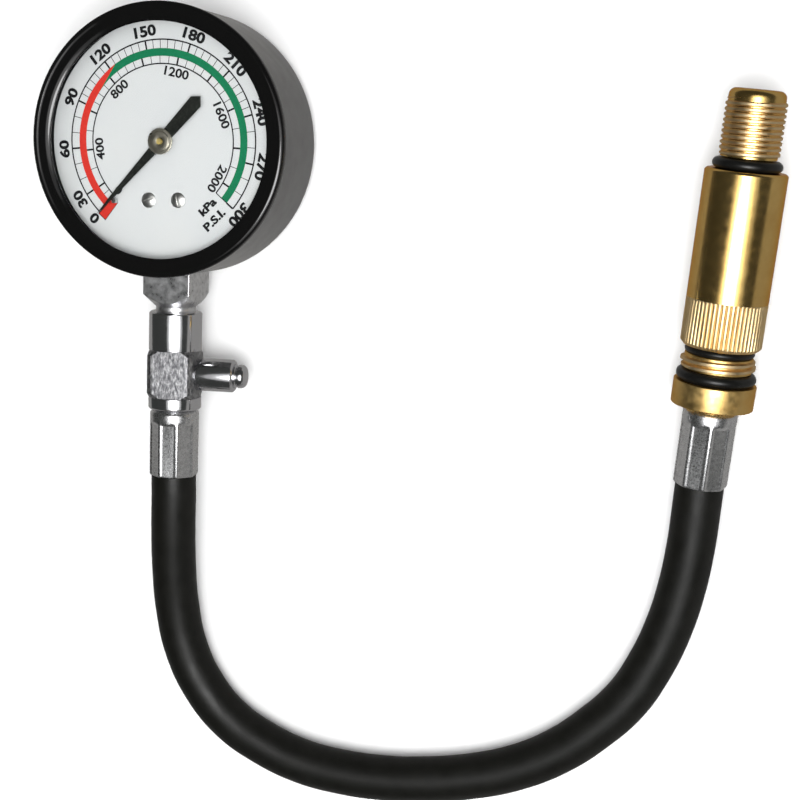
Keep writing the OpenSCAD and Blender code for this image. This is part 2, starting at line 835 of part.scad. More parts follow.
// End piece that closes the pressure tube and carries the link's pin
module bourdon_tip() {
  color([0.8, 0.68, 0.35]) {
    translate([0, 0, tube_z])
      rotate([0, 0, tube_start - 6.8])
        rotate_extrude(angle = 6.6)
          translate([tube_r - tip_piece_w / 2, -tip_piece_h / 2])
            square([tip_piece_w, tip_piece_h]);
    rotate([0, 0, pin_angle])
      translate([min(tube_r, pin_r), -1.2, tube_z + 1])
        cube([abs(tube_r - pin_r), 2.4, tip_piece_h / 2 - 1]);
    translate([tip_x, tip_y, 0]) {
      rod(1.3, tube_z, link_z - 0.5);
      rod(link_pin_r, link_z - 0.5 - e, link_z + link_t + 0.4);
    }
  }
}

module link() {
  color([0.75, 0.75, 0.75])
    translate([tail_x, tail_y, link_z])
      rotate([0, 0, link_angle])
        linear_extrude(link_t)
          difference() {
            union() {
              circle(d = link_w);
              translate([link_len, 0])
                circle(d = link_w);
              translate([0, -link_w / 2])
                square([link_len, link_w]);
            }
            circle(r = link_pin_r + arbor_gap);
            translate([link_len, 0])
              circle(r = open_hole_r);
          }
}

// Socket with its foot on the case back, its square stem block and its threaded end
module socket_stem() {
  half = stem_sq / 2;
  reach = 12;
  slope = neck_chamfer / (half - neck_d / 2);
  color([0.7, 0.71, 0.72])
    difference() {
      union() {
        intersection() {
          translate([-half, -chamfer_end, stem_z - half])
            cube([stem_sq, chamfer_end - block_start, stem_sq]);
          on_stem()
            turned([[0, 0], [reach, 0], [reach, stem_end - slope * (reach - half)], [neck_d / 2, chamfer_end],
              [0, chamfer_end]]);
        }
        translate([-half, -foot_far, back_t])
          cube([stem_sq, foot_far - foot_front, head_top - back_t]);
        on_stem()
          turned([[0, chamfer_end - 1], [neck_d / 2, chamfer_end - 1], [neck_d / 2, neck_end],
            [stem_thread_d / 2, neck_end], [stem_thread_d / 2, stem_thread_end - 0.6],
            [stem_thread_d / 2 - 0.6, stem_thread_end], [0, stem_thread_end]]);
      }
      on_stem()
        rod(gas_d / 2, block_start + 2, stem_thread_end + 1);
      translate([0, -block_start - 2, tube_z - gas_d / 2])
        cylinder(d = gas_d, h = stem_z - tube_z + gas_d / 2);
      translate([-3, -block_start - 2, tube_z])
        rotate([0, 90, 0])
          cylinder(r = 0.8, h = 3);
      translate([0, 0, tube_z])
        rotate([0, 0, -120])
          rotate_extrude(angle = 25.2)
            translate([tube_r, 0])
              stadium(tube_w + 2 * pocket_gap, tube_h + 2 * pocket_gap);
      for (x = [-1, 1])
        translate([x * case_screw_gap / 2, -case_screw_y, 0])
          rod(case_screw_hole_d / 2, 0, case_screw_len + 0.5);
      for (i = [2, 3])
        translate(pillar_at[i])
          rod(plate_screw_d / 2 + 0.05, head_top - 4.4, head_top + 1);
    }
}

// Valve body: two tubes with a flatted block between them
module valve_body() {
  tube_rad = valve_tube_d / 2;
  bar_r = valve_bar_d / 2;
  core_r = 5.4;
  color([0.72, 0.73, 0.75])
    on_valve()
      difference() {
        union() {
          turned([[0, neck_end], [tube_rad - 0.5, neck_end], [tube_rad, neck_end + 0.5],
            [tube_rad, valve_top_end], [core_r, valve_top_end], [core_r, valve_top_end + 0.5],
            [0, valve_top_end + 0.5]]);
          intersection() {
            turned([[0, valve_top_end], [chamfer_r, valve_top_end], [bar_r, valve_top_end + valve_chamfer],
              [bar_r, block_end - valve_chamfer], [chamfer_r, block_end], [0, block_end]]);
            translate([-valve_flat, -valve_flat, valve_top_end - 1])
              cube([2 * valve_flat, 2 * valve_flat, valve_block_len + 2]);
          }
          turned([[0, block_end - 0.5], [core_r, block_end - 0.5], [core_r, block_end],
            [tube_rad, block_end], [tube_rad, valve_end - 0.4], [tube_rad - 0.4, valve_end], [0, valve_end]]);
        }
        rod(valve_top_bore, neck_end - 1, stem_thread_end + 0.3);
        rod(gas_d / 2, neck_end, valve_end + 1);
        rod(nipple_thread_r + thread_gap, nipple_start - 0.2, valve_end + 1);
        translate([0, 0, relief_s])
          rotate([0, 90, 0]) {
            rod(chamber_r, chamber_back, shank_in + 0.1);
            rod(shank_r + thread_gap, shank_in - 0.1, valve_flat + 5);
          }
      }
}

// Barrel of the relief valve, screwed into the block's right flat
module relief_barrel() {
  color([0.72, 0.73, 0.75])
    on_relief()
      difference() {
        union() {
          rod(shank_r, shank_in, valve_flat + e);
          turned([[0, valve_flat], [barrel_r, valve_flat], [barrel_r, barrel_end - 0.5],
            [barrel_r - 0.5, barrel_end], [0, barrel_end]]);
        }
        rod(relief_stem_r + 0.2, shank_in - 1, relief_spring_in + 1);
        rod(2.6, relief_spring_in, button_bore_in + 1);
        rod(button_bore_r, button_bore_in, barrel_end + 1);
      }
}

// Domed push button
module relief_button() {
  dome = 1.6;
  color([0.72, 0.73, 0.75])
    on_relief()
      difference() {
        rotate_extrude() {
          polygon([[0, button_in], [button_r, button_in], [button_r, button_tip - dome],
            [button_r - dome, button_tip], [0, button_tip]]);
          intersection() {
            translate([button_r - dome, button_tip - dome])
              circle(r = dome);
            translate([0, button_in])
              square([button_r, button_tip - button_in]);
          }
        }
        rod(relief_stem_r + 0.02, button_in - 1, button_in + 1.8);
      }
}

module relief_stem() {
  color([0.75, 0.72, 0.6])
    on_relief() {
      rod(relief_stem_r, 0.4, button_in + 1.7);
      rod(poppet_r, 0.4, 1);
    }
}

module relief_seal() {
  color([0.08, 0.08, 0.08])
    on_relief()
      tube(poppet_r, relief_stem_r + 0.02, 1, shank_in - 0.02);
}

module relief_spring() {
  color([0.75, 0.75, 0.75])
    on_relief()
      coil(1.7, 0.4, 6, relief_spring_in, button_in);
}

// Ferrule along Z from its closed end at 0 to its open end, with eight crimped panels
module ferrule(r, len, hole_r) {
  panel_r = r - crimp_depth;
  difference() {
    union() {
      rotate_extrude() {
        polygon([[0, 0], [r - 1.2, 0], [r, 1.2], [r, shoulder_len - crimp_depth], [panel_r, shoulder_len],
          [panel_r, len - 0.3], [panel_r - 0.3, len], [0, len]]);
        translate([r - 1.2, 1.2])
          circle(r = 1.2);
      }
      intersection() {
        turned([[0, 1], [r, 1], [r, len - 0.6], [panel_r, len - 0.2], [0, len - 0.2]]);
        for (i = [0 : 7])
          rotate([0, 0, 22.5 + 45 * i])
            translate([0, -ridge_w / 2, 2])
              cube([r + 1, ridge_w, len]);
      }
    }
    rod(hole_r, -1, len);
    rod(ferrule_bore_r, ferrule_wall_t, len + 1);
  }
}

module gauge_ferrule() {
  color([0.66, 0.67, 0.69])
    on_valve()
      translate([0, 0, gauge_ferrule_s])
        ferrule(gauge_ferrule_d / 2, gauge_ferrule_len, nipple_thread_r + 0.05);
}

// Nipple screwed into the valve body, with its tail in the hose
module gauge_nipple() {
  collar = gauge_ferrule_s + ferrule_wall_t + 0.05;
  color([0.75, 0.65, 0.35])
    on_stem()
      difference() {
        union() {
          rod(nipple_thread_r, nipple_start, collar + e);
          rod(collar_r, collar, collar + 0.8);
          rod(tail_r, collar + 0.7, gauge_ferrule_end - 1);
        }
        rod(gas_d / 2, nipple_start - 1, gauge_ferrule_end);
      }
}

// Points of the hose's centre line, with straight ends inside both ferrules
gauge_straight = [[0, -gauge_hose_s, stem_z], [0, -(gauge_hose_s + gauge_ferrule_end) / 2, stem_z],
  [0, -gauge_ferrule_end, stem_z], [0, -gauge_ferrule_end - 0.6, stem_z]];
far_straight = [adaptor_at - 0.6 * adaptor_dir, adaptor_at, adaptor_at + far_hose_s / 2 * adaptor_dir,
  adaptor_at + far_hose_s * adaptor_dir];
bend_points = concat([gauge_straight[2], gauge_straight[3]], hose_route, [far_straight[0], far_straight[1]]);

function unit(v) = v / norm(v);
function spline(p0, p1, p2, p3, t) =
  let (d1 = sqrt(norm(p1 - p0)), d2 = sqrt(norm(p2 - p1)), d3 = sqrt(norm(p3 - p2)),
    m1 = (p2 - p1) + d2 * ((p1 - p0) / d1 - (p2 - p0) / (d1 + d2)),
    m2 = (p2 - p1) + d2 * ((p3 - p2) / d3 - (p3 - p1) / (d2 + d3)))
  p1 * (2 * t * t * t - 3 * t * t + 1) + m1 * (t * t * t - 2 * t * t + t)
  + p2 * (3 * t * t - 2 * t * t * t) + m2 * (t * t * t - t * t);

bend = [for (i = [1 : len(bend_points) - 3]) for (k = [0 : hose_steps - 1])
  spline(bend_points[i - 1], bend_points[i], bend_points[i + 1], bend_points[i + 2], k / hose_steps)];
centre_line = concat([gauge_straight[0], gauge_straight[1], gauge_straight[2]], bend,
  [far_straight[0], far_straight[1], far_straight[2], far_straight[3]]);
last_ring = len(centre_line) - 1;

function hose_dir(i) = unit(centre_line[min(i + 1, last_ring)] - centre_line[max(i - 1, 0)]);
function hose_out(i) = i < 3 || i > last_ring - 3 ? squeezed_r : hose_r;
function hose_ring(i, r) =
  let (t = hose_dir(i), side = unit(cross(t, [0, 0, 1])), up = cross(side, t))
  [for (k = [0 : hose_sides - 1]) let (a = 360 * (k + 0.5) / hose_sides)
    centre_line[i] + r * (cos(a) * side + sin(a) * up)];
function wall_faces(first, flip) = [for (i = [0 : last_ring - 1]) for (k = [0 : hose_sides - 1])
  let (a = first + i * hose_sides + k, b = first + i * hose_sides + (k + 1) % hose_sides,
    c = b + hose_sides, d = a + hose_sides)
  each flip ? [[a, c, b], [a, d, c]] : [[a, b, c], [a, c, d]]];
function end_faces(ring_at, flip) = let (inner = (last_ring + 1) * hose_sides)
  [for (k = [0 : hose_sides - 1])
    let (a = ring_at * hose_sides + k, b = ring_at * hose_sides + (k + 1) % hose_sides,
      c = inner + b, d = inner + a)
    each flip ? [[a, c, b], [a, d, c]] : [[a, b, c], [a, c, d]]];

// Rubber hose as one swept tube, squeezed inside both ferrules
module hose() {
  points = concat([for (i = [0 : last_ring]) each hose_ring(i, hose_out(i))],
    [for (i = [0 : last_ring]) each hose_ring(i, hose_bore_r)]);
  faces = concat(wall_faces(0, true), wall_faces((last_ring + 1) * hose_sides, false),
    end_faces(0, false), end_faces(last_ring, true));
  color([0.05, 0.05, 0.05])
    polyhedron(points = points, faces = faces);
}

module far_ferrule() {
  color([0.66, 0.67, 0.69])
    on_adaptor()
      translate([0, 0, far_ferrule_len])
        rotate([180, 0, 0])
          ferrule(far_ferrule_d / 2, far_ferrule_len, nipple_thread_r + 0.05);
}

// Brass fitting: hose tail, flange, large thread and the small threaded stub for the sleeve
module adaptor_fitting() {
  collar = far_ferrule_len - ferrule_wall_t - 0.05;
  color([0.82, 0.66, 0.34])
    on_adaptor()
      difference() {
        union() {
          rod(tail_r, 1, collar - 0.7);
          rod(collar_r, collar - 0.8, collar);
          rod(nipple_thread_r, collar - e, far_ferrule_len + 0.1);
          rod(5.6, far_ferrule_len + 0.05, flange_s + e);
          rotate_extrude() {
            polygon([[0, flange_s], [flange_r - flange_edge_r, flange_s], [flange_r, flange_s + flange_edge_r],
              [flange_r, flange_end - 0.2], [flange_r - 0.2, flange_end], [0, flange_end]]);
            translate([flange_r - flange_edge_r, flange_s + flange_edge_r])
              circle(r = flange_edge_r);
          }
          rod(big_root_r, flange_end - e, big_thread_s + e);
          crests(big_thread_d / 2, 0.85, big_pitch, big_thread_s, big_thread_end, 0.15);
          rod(spigot_root_r, big_thread_end - e, stub_start);
          crests(stub_r, small_depth, small_pitch, stub_start, stub_end - 0.8, 0.5);
          turned([[0, stub_end - 0.9], [stub_r - small_depth, stub_end - 0.9],
            [stub_r - small_depth, stub_end - 0.4], [stub_r - small_depth - 0.4, stub_end], [0, stub_end]]);
        }
        rod(gas_d / 2, 0, check_low);
        rod(check_seat_r, check_low - 3.4, check_top - 3.9);
        rod(check_r + thread_gap, check_top - 4, stub_end + 1);
      }
}

module big_seal_ring() {
  color([0.05, 0.05, 0.05])
    on_adaptor()
      ring(big_ring_d, big_ring_w, big_ring_s);
}

module spigot_seal_ring() {
  color([0.05, 0.05, 0.05])
    on_adaptor()
      ring(spigot_ring_d, spigot_ring_w, spigot_ring_s);
}

// Brass sleeve with its knurled band, inner thread and small outer thread
module adaptor_sleeve() {
  color([0.84, 0.68, 0.35])
    on_adaptor()
      difference() {
        union() {
          turned([[0, sleeve_s], [sleeve_r - 0.8, sleeve_s], [sleeve_r, sleeve_s + 0.8],
            [sleeve_r, sleeve_end - 0.5], [sleeve_r - 0.5, sleeve_end], [0, sleeve_end]]);
          rod(tip_root_r, sleeve_end - e, tip_thread_s + e);
          crests(small_r, small_depth, small_pitch, tip_thread_s, tip_end - 1.6, 0.5);
          rotate_extrude() {
            square_at(0, tip_end - tip_corner_r - e, small_r - small_depth - tip_corner_r + 0.4, tip_corner_r + e);
            intersection() {
              translate([small_r - small_depth - tip_corner_r + 0.4, tip_end - tip_corner_r])
                circle(r = tip_corner_r);
              square_at(0, tip_end - tip_corner_r - e, small_r - small_depth, tip_corner_r + 1);
            }
          }
        }
        rod(sleeve_bore_r, sleeve_s - 1, sleeve_bore_end);
        rod(sleeve_gas_r, sleeve_s, sleeve_end - 6);
        rod(tip_bore_r, sleeve_s, tip_end + 1);
        for (i = [0 : knurl_count - 1])
          rotate([0, 0, i * 360 / knurl_count])
            translate([sleeve_r + 0.28, 0, sleeve_s - 1])
              rotate([0, 0, 45])
                translate([-knurl_side / 2, -knurl_side / 2, 0])
                  cube([knurl_side, knurl_side, knurl_len + 1]);
      }
}

// Side of the square bar that cuts one knurl groove
knurl_side = (knurl_depth + 0.28) * sqrt(2);

// A rectangle from its lower left corner and size
module square_at(x, y, w, h) {
  translate([x, y])
    square([w, h]);
}

module tip_seal_ring() {
  color([0.05, 0.05, 0.05])
    on_adaptor()
      ring(tip_ring_d, tip_ring_w, tip_ring_s);
}

// Threaded body of the check valve
module check_body() {
  color([0.8, 0.66, 0.34])
    on_adaptor()
      difference() {
        union() {
          rod(check_r, check_top - 3.8, check_top);
          rod(2.1, check_low, check_top - 3.7);
        }
        rod(check_pin_r + 0.1, check_low - 1, check_top + 1);
        rod(1.5, check_low + 2, check_top - 0.8);
      }
}

module check_pin() {
  color([0.75, 0.75, 0.75])
    on_adaptor() {
      rod(check_pin_r, check_low - 1.5, check_top + 1.4);
      rod(1.7, check_low - 1.5, check_low - 0.8);
      rod(1.2, check_top - 1.4, check_top - 0.9);
    }
}

module check_seal() {
  color([0.08, 0.08, 0.08])
    on_adaptor()
      tube(1.9, check_pin_r + 0.02, check_low - 0.78, check_low - 0.02);
}

module check_spring() {
  color([0.75, 0.75, 0.75])
    on_adaptor()
      coil(0.95, 0.25, 5, check_low + 2, check_top - 1.4);
}

case();
case_screws();
bezel();
lens();
lens_gasket();
dial_plate();
dial_screws();
stop_pin();
pointer();
pointer_hub();
pinion_shaft();
sector_gear();
sector_arbor();
movement_back_plate();
movement_front_plate();
movement_pillars();
movement_screws();
hairspring();
bourdon_tube();
bourdon_tip();
link();
socket_stem();
valve_body();
relief_barrel();
relief_button();
relief_stem();
relief_seal();
relief_spring();
gauge_ferrule();
gauge_nipple();
hose();
far_ferrule();
adaptor_fitting();
big_seal_ring();
spigot_seal_ring();
adaptor_sleeve();
tip_seal_ring();
check_body();
check_pin();
check_seal();
check_spring();
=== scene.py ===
import math

import bmesh
import bpy
from mathutils import Matrix, Vector


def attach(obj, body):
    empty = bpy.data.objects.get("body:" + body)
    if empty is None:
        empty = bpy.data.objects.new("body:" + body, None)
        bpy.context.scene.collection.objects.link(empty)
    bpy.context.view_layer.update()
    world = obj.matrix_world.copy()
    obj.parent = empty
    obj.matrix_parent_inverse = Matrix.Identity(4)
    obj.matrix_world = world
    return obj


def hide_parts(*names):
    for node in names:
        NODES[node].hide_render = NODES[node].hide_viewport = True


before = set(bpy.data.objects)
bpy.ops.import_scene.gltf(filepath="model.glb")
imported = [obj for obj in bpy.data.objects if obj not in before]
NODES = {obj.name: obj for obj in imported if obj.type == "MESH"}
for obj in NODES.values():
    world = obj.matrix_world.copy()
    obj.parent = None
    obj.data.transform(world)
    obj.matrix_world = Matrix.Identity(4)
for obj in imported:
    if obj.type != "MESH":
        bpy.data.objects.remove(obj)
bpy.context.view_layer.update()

# Sizes in millimetres and angles in degrees, most of them as in the part's source

MM = 0.001
SEGMENTS = 128

STEM_Z = 12
VALVE_TURN = 8
RELIEF_S = 59.9
ADAPTOR_AT = (137.2, -77.6, 8.3386)
ADAPTOR_LEAN = 4.4
ADAPTOR_LIFT = 4

# Bezel, whose opening is drawn a little wider than in the source, as the photo shows the dial's edge
BEZEL_R = 34
BEZEL_LOW = 24
BEZEL_TOP = 26.1
LIP_R = 29.2
LIP_LOW = 25.02
LENS_SEAT_R = 31.6
SKIRT_R = 32.5
SKIRT_LOW = 23.45
# Distances in from the bezel's edge and down from its top, over its rounded rim
BEZEL_RIM = ((0, 0.9), (0.1, 0.55), (0.45, 0.25), (0.9, 0.03), (1.25, 0), (1.5, 0.1), (1.8, 0.2))
# Distances out from the lip and down from the bezel's top, over the slope between rim and lip
BEZEL_SLOPE = ((1.2, 0.32), (0.5, 0.55), (0, 0.85))

# Pointer and its hub
POINTER_Z = 22.5
POINTER_T = 0.3
POINTER_RIM = 0.07
POINTER_TURN = -43
NEEDLE_HALF = 1.3
NEEDLE_FINE_HALF = 0.45
NEEDLE_FINE_FROM = 20
NEEDLE_REACH = 25.7
TAIL_HALF = 1.4
TAIL_WIDE_HALF = 1.8
TAIL_WIDE_AT = 13.7
TAIL_REACH = 15.5
HUB_R = 3.25
HUB_TOP_R = 2.5
HUB_TOP_EDGE_R = 1.6
HUB_FOOT_R = 1.2
HUB_FOOT_H = 0.25
HUB_LOW = 22.8
HUB_STEP = 23.3
HUB_TOP = 23.6
HUB_CROWN = 0.05
HUB_DISH = 0.04
SHAFT_HOLE_R = 0.78

# Dial and its screws, whose heads are drawn a little wider and more domed than in the source
DIAL_TOP = 21.7
DIAL_TURN = 2
DIAL_SCREWS_AT = (4.03, -14.6)
DIAL_SCREW_R = 1.95
DIAL_SCREW_H = 0.6
DIAL_SCREW_DOME = 0.5
DIAL_SCREW_GAP = 0.005
DIAL_SLOT_LEN = 5
DIAL_SLOT_W = 0.6
DIAL_SLOT_DEPTH = 0.35
DIAL_SLOT_TURNS = (20, 100)

# Relief valve, with the button's bore deep enough for its travel
VALVE_TOP = 43.5
BLOCK_START = 53.6
BLOCK_END = 66.2
VALVE_END = 69.3
TUBE_R = 6.9
TUBE_OVERLAP = 0.1
UPPER_CHAMFER = 0.5
LOWER_CHAMFER = 0.4
BAR_R = 7.9
BAR_END_R = 6.85
BAR_FLAT = 6.15
BAR_CHAMFER = 1.3
# Distances in from the radius of the bar's end and along the bar, from its end face to where it widens
BAR_END_EDGE = ((0.5, 0), (0.1, 0.02), (0, 0.06))
BARREL_R = 4.3
BARREL_IN = 6.15
BARREL_END = 16.2
BARREL_SHANK = 2
BARREL_SHANK_R = 3
BARREL_CHAMFER = 0.5
BUTTON_R = 3.1
BUTTON_IN = 12.45
BUTTON_END = 19.5
BUTTON_BORE_R = 3.15
BUTTON_BORE_DEPTH = 6.2
# Radius and distance from the button's end, over its groove and then its dome
BUTTON_FRONT = ((3.1, 2.9), (2.9, 2.75), (2.9, 2.45), (3.1, 2.3), (3.1, 1.6), (3.0, 1.05), (2.72, 0.58),
                (2.3, 0.27), (1.6, 0.07), (0, 0))

# Ferrules, with deeper panels and a rounder shoulder than in the source, and the far one turned a little
GAUGE_FERRULE = {"start": 69.4, "length": 17.8, "radius": 6.4}
FAR_FERRULE = {"start": 19.2, "length": 19.2, "radius": 6.55}
FAR_FERRULE_TURN = 12
FERRULE_BORE_R = 5.3
FERRULE_WALL = 1
FERRULE_SHOULDER = 1.4
CRIMP_START = 4
CRIMP_DEPTH = 0.55
CRIMP_RIDGE_HALF = 0.8
PANELS = 8
# Distance before the crimp's start, and share of its depth there
CRIMP_RAMP = ((1.2, 0), (0.7, 0.12), (0.3, 0.75), (0, 1))
# Distance in from the outside, distance back from the open end, and share of the crimp's depth there
FERRULE_LIP = ((0, 0.5, 1), (0.1, 0.2, 0.9), (0.35, 0, 0.5))

# Hose, with its centre line from the gauge's ferrule to the adaptor's
HOSE_D = 11.8
HOSE_MOUTH = (0, -87.2, 12)
HOSE_ROUTE = [
    HOSE_MOUTH, (0, -89.5, 11.95), (0, -92, 11.82), (-0.4, -100.6, 10.98), (-0.8, -112.8, 9.3),
    (-0.4, -125.2, 7.5), (1.9, -137, 6.42), (7.2, -147.5, 6), (15.2, -155.9, 6), (25.3, -161.5, 6),
    (36.5, -165.1, 6), (48.2, -166.4, 6), (59, -166.3, 6), (69.6, -165.1, 6), (85.2, -161.6, 6),
    (96.1, -157.5, 6), (106.1, -151.7, 6), (114.9, -144.2, 6), (122.5, -135.7, 6), (128, -125.8, 6),
    (132, -115.2, 6.12), (134.6, -104.3, 6.47), (136.1, -93.4, 7.17), (136.9, -82.3, 8.0), ADAPTOR_AT,
]

# Adaptor, with heights along its own axis, and the tip's thread shallower than in the source
NECK_START = 18.9
NECK_R = 5.6
FLANGE_LOW = 20.0
FLANGE_HIGH = 25.9
FLANGE_R = 9.825
BIG_SEAL_SEAT_R = 6.74
SPIGOT_ROOT_R = 6.5
STUB_START = 34.65
STUB_END = 47.35
STUB_CHAMFER = 0.4
STUB_BORE_R = 2.65
STUB_BORE_DEPTH = 4.6
BIG_THREAD = {"low": 28.76, "high": 32.6, "crest": 8.95, "depth": 0.85, "pitch": 1.5}
STUB_THREAD = {"low": 34.95, "high": 46.6, "crest": 6.8, "depth": 0.65, "pitch": 1.25}
TIP_THREAD = {"low": 79.1, "high": 92.8, "crest": 7.0, "depth": 0.45, "pitch": 1.25}
# Turns left off each thread's length, and pitches from its start to where its ridge begins
THREAD_TURNS_LESS = 0.55
THREAD_LEAD = 0.2
SLEEVE_START = 34.45
SLEEVE_END = 76.15
SLEEVE_R = 9.6
SLEEVE_CHAMFER = 0.5
SLEEVE_BORE_R = 6.85
SLEEVE_BORE_END = 48.85
SLEEVE_MOUTH = 0.8
GAS_R = 3
TIP_ROOT_R = 5.5
TIP_ROOT_END = 78.95
TIP_END = 94.55
TIP_CORNER_R = 1.6
TIP_BORE_R = 2
TIP_BORE_START = 70.15
# The knurled band is drawn a little longer than the source gives it, as the photo shows it
KNURL_LEN = 11.4
KNURL_COUNT = 54
KNURL_DEPTH = 0.35
KNURL_FADE = 0.35
# Distance in from the sleeve's outside, distance from its mouth, and share of the grooves' depth there
KNURL_START = ((SLEEVE_MOUTH, 0, 0), (KNURL_DEPTH, 0.45, 0.3), (0.04, 0.76, 0.9), (0, 0.95, 1))
# Name, place along the adaptor, outside diameter, section and body of each seal ring
SEAL_RINGS = (
    ("big_seal", 27.28, 19, 2.76, "tester"),
    ("spigot_seal", 33.5, 16.6, 1.8, "tester"),
    ("tip_seal", 77.45, 16.2, 2.6, "sleeve"),
)


# Places of the pieces

def turn(degrees, axis):
    return Matrix.Rotation(math.radians(degrees), 4, axis)


def along(distance):
    return Matrix.Translation((0, 0, distance))


ROW = Matrix.Scale(MM, 4)
STEM = ROW @ along(STEM_Z) @ turn(90, "X")
VALVE = STEM @ turn(-VALVE_TURN, "Z")
RELIEF = VALVE @ along(RELIEF_S) @ turn(90, "Y")
ADAPTOR = ROW @ Matrix.Translation(ADAPTOR_AT) @ turn(90 - ADAPTOR_LEAN, "Z") @ turn(90 - ADAPTOR_LIFT, "Y")
DIAL = ROW @ turn(DIAL_TURN, "Z")


# Camera, light and floor, in metres

CAMERA_AT = Vector((0.156562, -0.004408, 0.360704))
CAMERA_TARGET = Vector((0.061205, -0.062623, 0.01))
CAMERA_ROLL = 0.038
CAMERA_LENS_MM = 65.04
CAMERA_SENSOR_MM = 36
LIGHTS_AIM = Vector((0.06, -0.06, 0))
# Name, place, size, power in watts, and whether the light shows in shiny surfaces
LIGHTS = (
    ("flash", (0.175, -0.11, 0.47), 0.25, 1.4, True),
    ("flash_glow", (0.18, -0.11, 0.49), 0.46, 0.6, True),
    ("flash_rim", (0.19, -0.11, 0.50), 0.66, 0.5, True),
    ("soft_top", (0.05, 0.1, 1.3), 1.6, 3.2, False),
    ("soft_left", (-0.9, -0.4, 0.9), 1.0, 1.2, False),
)
# What shiny surfaces see of the room, from straight below to straight above along a slightly tilted line
ROOM_LEAN = (-0.2, 0.12, 1)
ROOM_STOPS = ((0.0, (0.30, 0.295, 0.285)), (0.40, (0.31, 0.305, 0.295)), (0.49, (0.34, 0.335, 0.325)),
              (0.53, (0.055, 0.057, 0.055)), (0.75, (0.045, 0.047, 0.045)), (1.0, (0.05, 0.052, 0.05)))
ROOM_TO_CAMERA = 0.95
ROOM_TO_ROUGH = 0.6
TABLE_HALF = 4.0


def add_object(name, data):
    obj = bpy.data.objects.new(name, data)
    bpy.context.collection.objects.link(obj)
    return obj


def put(tree, socket, value):
    """Gives an input a value of its own or the output of another node."""
    if isinstance(value, bpy.types.NodeSocket):
        tree.links.new(value, socket)
    else:
        socket.default_value = value


def feed(tree, node, **inputs):
    """Gives a node its inputs, whose names have _ for a space."""
    for label, value in inputs.items():
        put(tree, node.inputs[label.replace("_", " ")], value)


def add_node(tree, kind, settings=None, **inputs):
    node = tree.nodes.new(kind)
    for key, value in (settings or {}).items():
        setattr(node, key, value)
    feed(tree, node, **inputs)
    return node


def set_stops(marks, stops):
    """Gives a colour ramp these stops of (position, colour)."""
    while len(marks) < len(stops):
        marks.new(0.5)
    for mark, (at, colour) in zip(marks, stops):
        mark.position = at
        mark.color = (*colour, 1)


def add_camera():
    ahead = (CAMERA_TARGET - CAMERA_AT).normalized()
    level = ahead.cross(Vector((0, 1, 0))).normalized()
    above = level.cross(ahead)
    right = math.cos(CAMERA_ROLL) * level + math.sin(CAMERA_ROLL) * above
    up = math.cos(CAMERA_ROLL) * above - math.sin(CAMERA_ROLL) * level
    data = bpy.data.cameras.new("photo_camera")
    data.sensor_fit = "HORIZONTAL"
    data.sensor_width = CAMERA_SENSOR_MM
    data.lens = CAMERA_LENS_MM
    data.clip_start = 0.01
    camera = add_object("photo_camera", data)
    pose = Matrix((right, up, -ahead)).transposed().to_4x4()
    pose.translation = CAMERA_AT
    camera.matrix_world = pose
    bpy.context.scene.camera = camera


def add_light(name, place, size, power, glossy):
    data = bpy.data.lights.new(name, "AREA")
    data.shape = "DISK"
    data.size = size
    data.energy = power
    light = add_object(name, data)
    light.location = place
    light.rotation_euler = (LIGHTS_AIM - Vector(place)).to_track_quat("-Z", "Y").to_euler()
    light.visible_glossy = glossy
    light.visible_camera = False


def add_room():
    """Dim above and grey below for reflections, with an even light for rough surfaces, pale to the camera."""
    world = bpy.data.worlds.new("studio_room")
    bpy.context.scene.world = world
    world.use_nodes = True
    tree = world.node_tree
    tree.nodes.clear()
    coord = add_node(tree, "ShaderNodeTexCoord")
    height = add_node(tree, "ShaderNodeVectorMath", {"operation": "DOT_PRODUCT"})
    put(tree, height.inputs[0], coord.outputs["Generated"])
    put(tree, height.inputs[1], ROOM_LEAN)
    half = add_node(tree, "ShaderNodeMapRange", Value=height.outputs["Value"], From_Min=-1, From_Max=1)
    shade = add_node(tree, "ShaderNodeValToRGB", Fac=half.outputs["Result"])
    set_stops(shade.color_ramp.elements, ROOM_STOPS)
    room = add_node(tree, "ShaderNodeBackground", Color=shade.outputs["Color"])
    path = add_node(tree, "ShaderNodeLightPath")
    seen = room.outputs["Background"]
    for ray, grey in (("Is Diffuse Ray", ROOM_TO_ROUGH), ("Is Camera Ray", ROOM_TO_CAMERA)):
        other = add_node(tree, "ShaderNodeBackground", Color=(grey, grey, grey, 1))
        mix = add_node(tree, "ShaderNodeMixShader", Fac=path.outputs[ray])
        put(tree, mix.inputs[1], seen)
        put(tree, mix.inputs[2], other.outputs["Background"])
        seen = mix.outputs["Shader"]
    add_node(tree, "ShaderNodeOutputWorld", Surface=seen)


bpy.context.scene.view_settings.view_transform = "Standard"
add_camera()
add_room()
for light in LIGHTS:
    add_light(*light)


# Materials

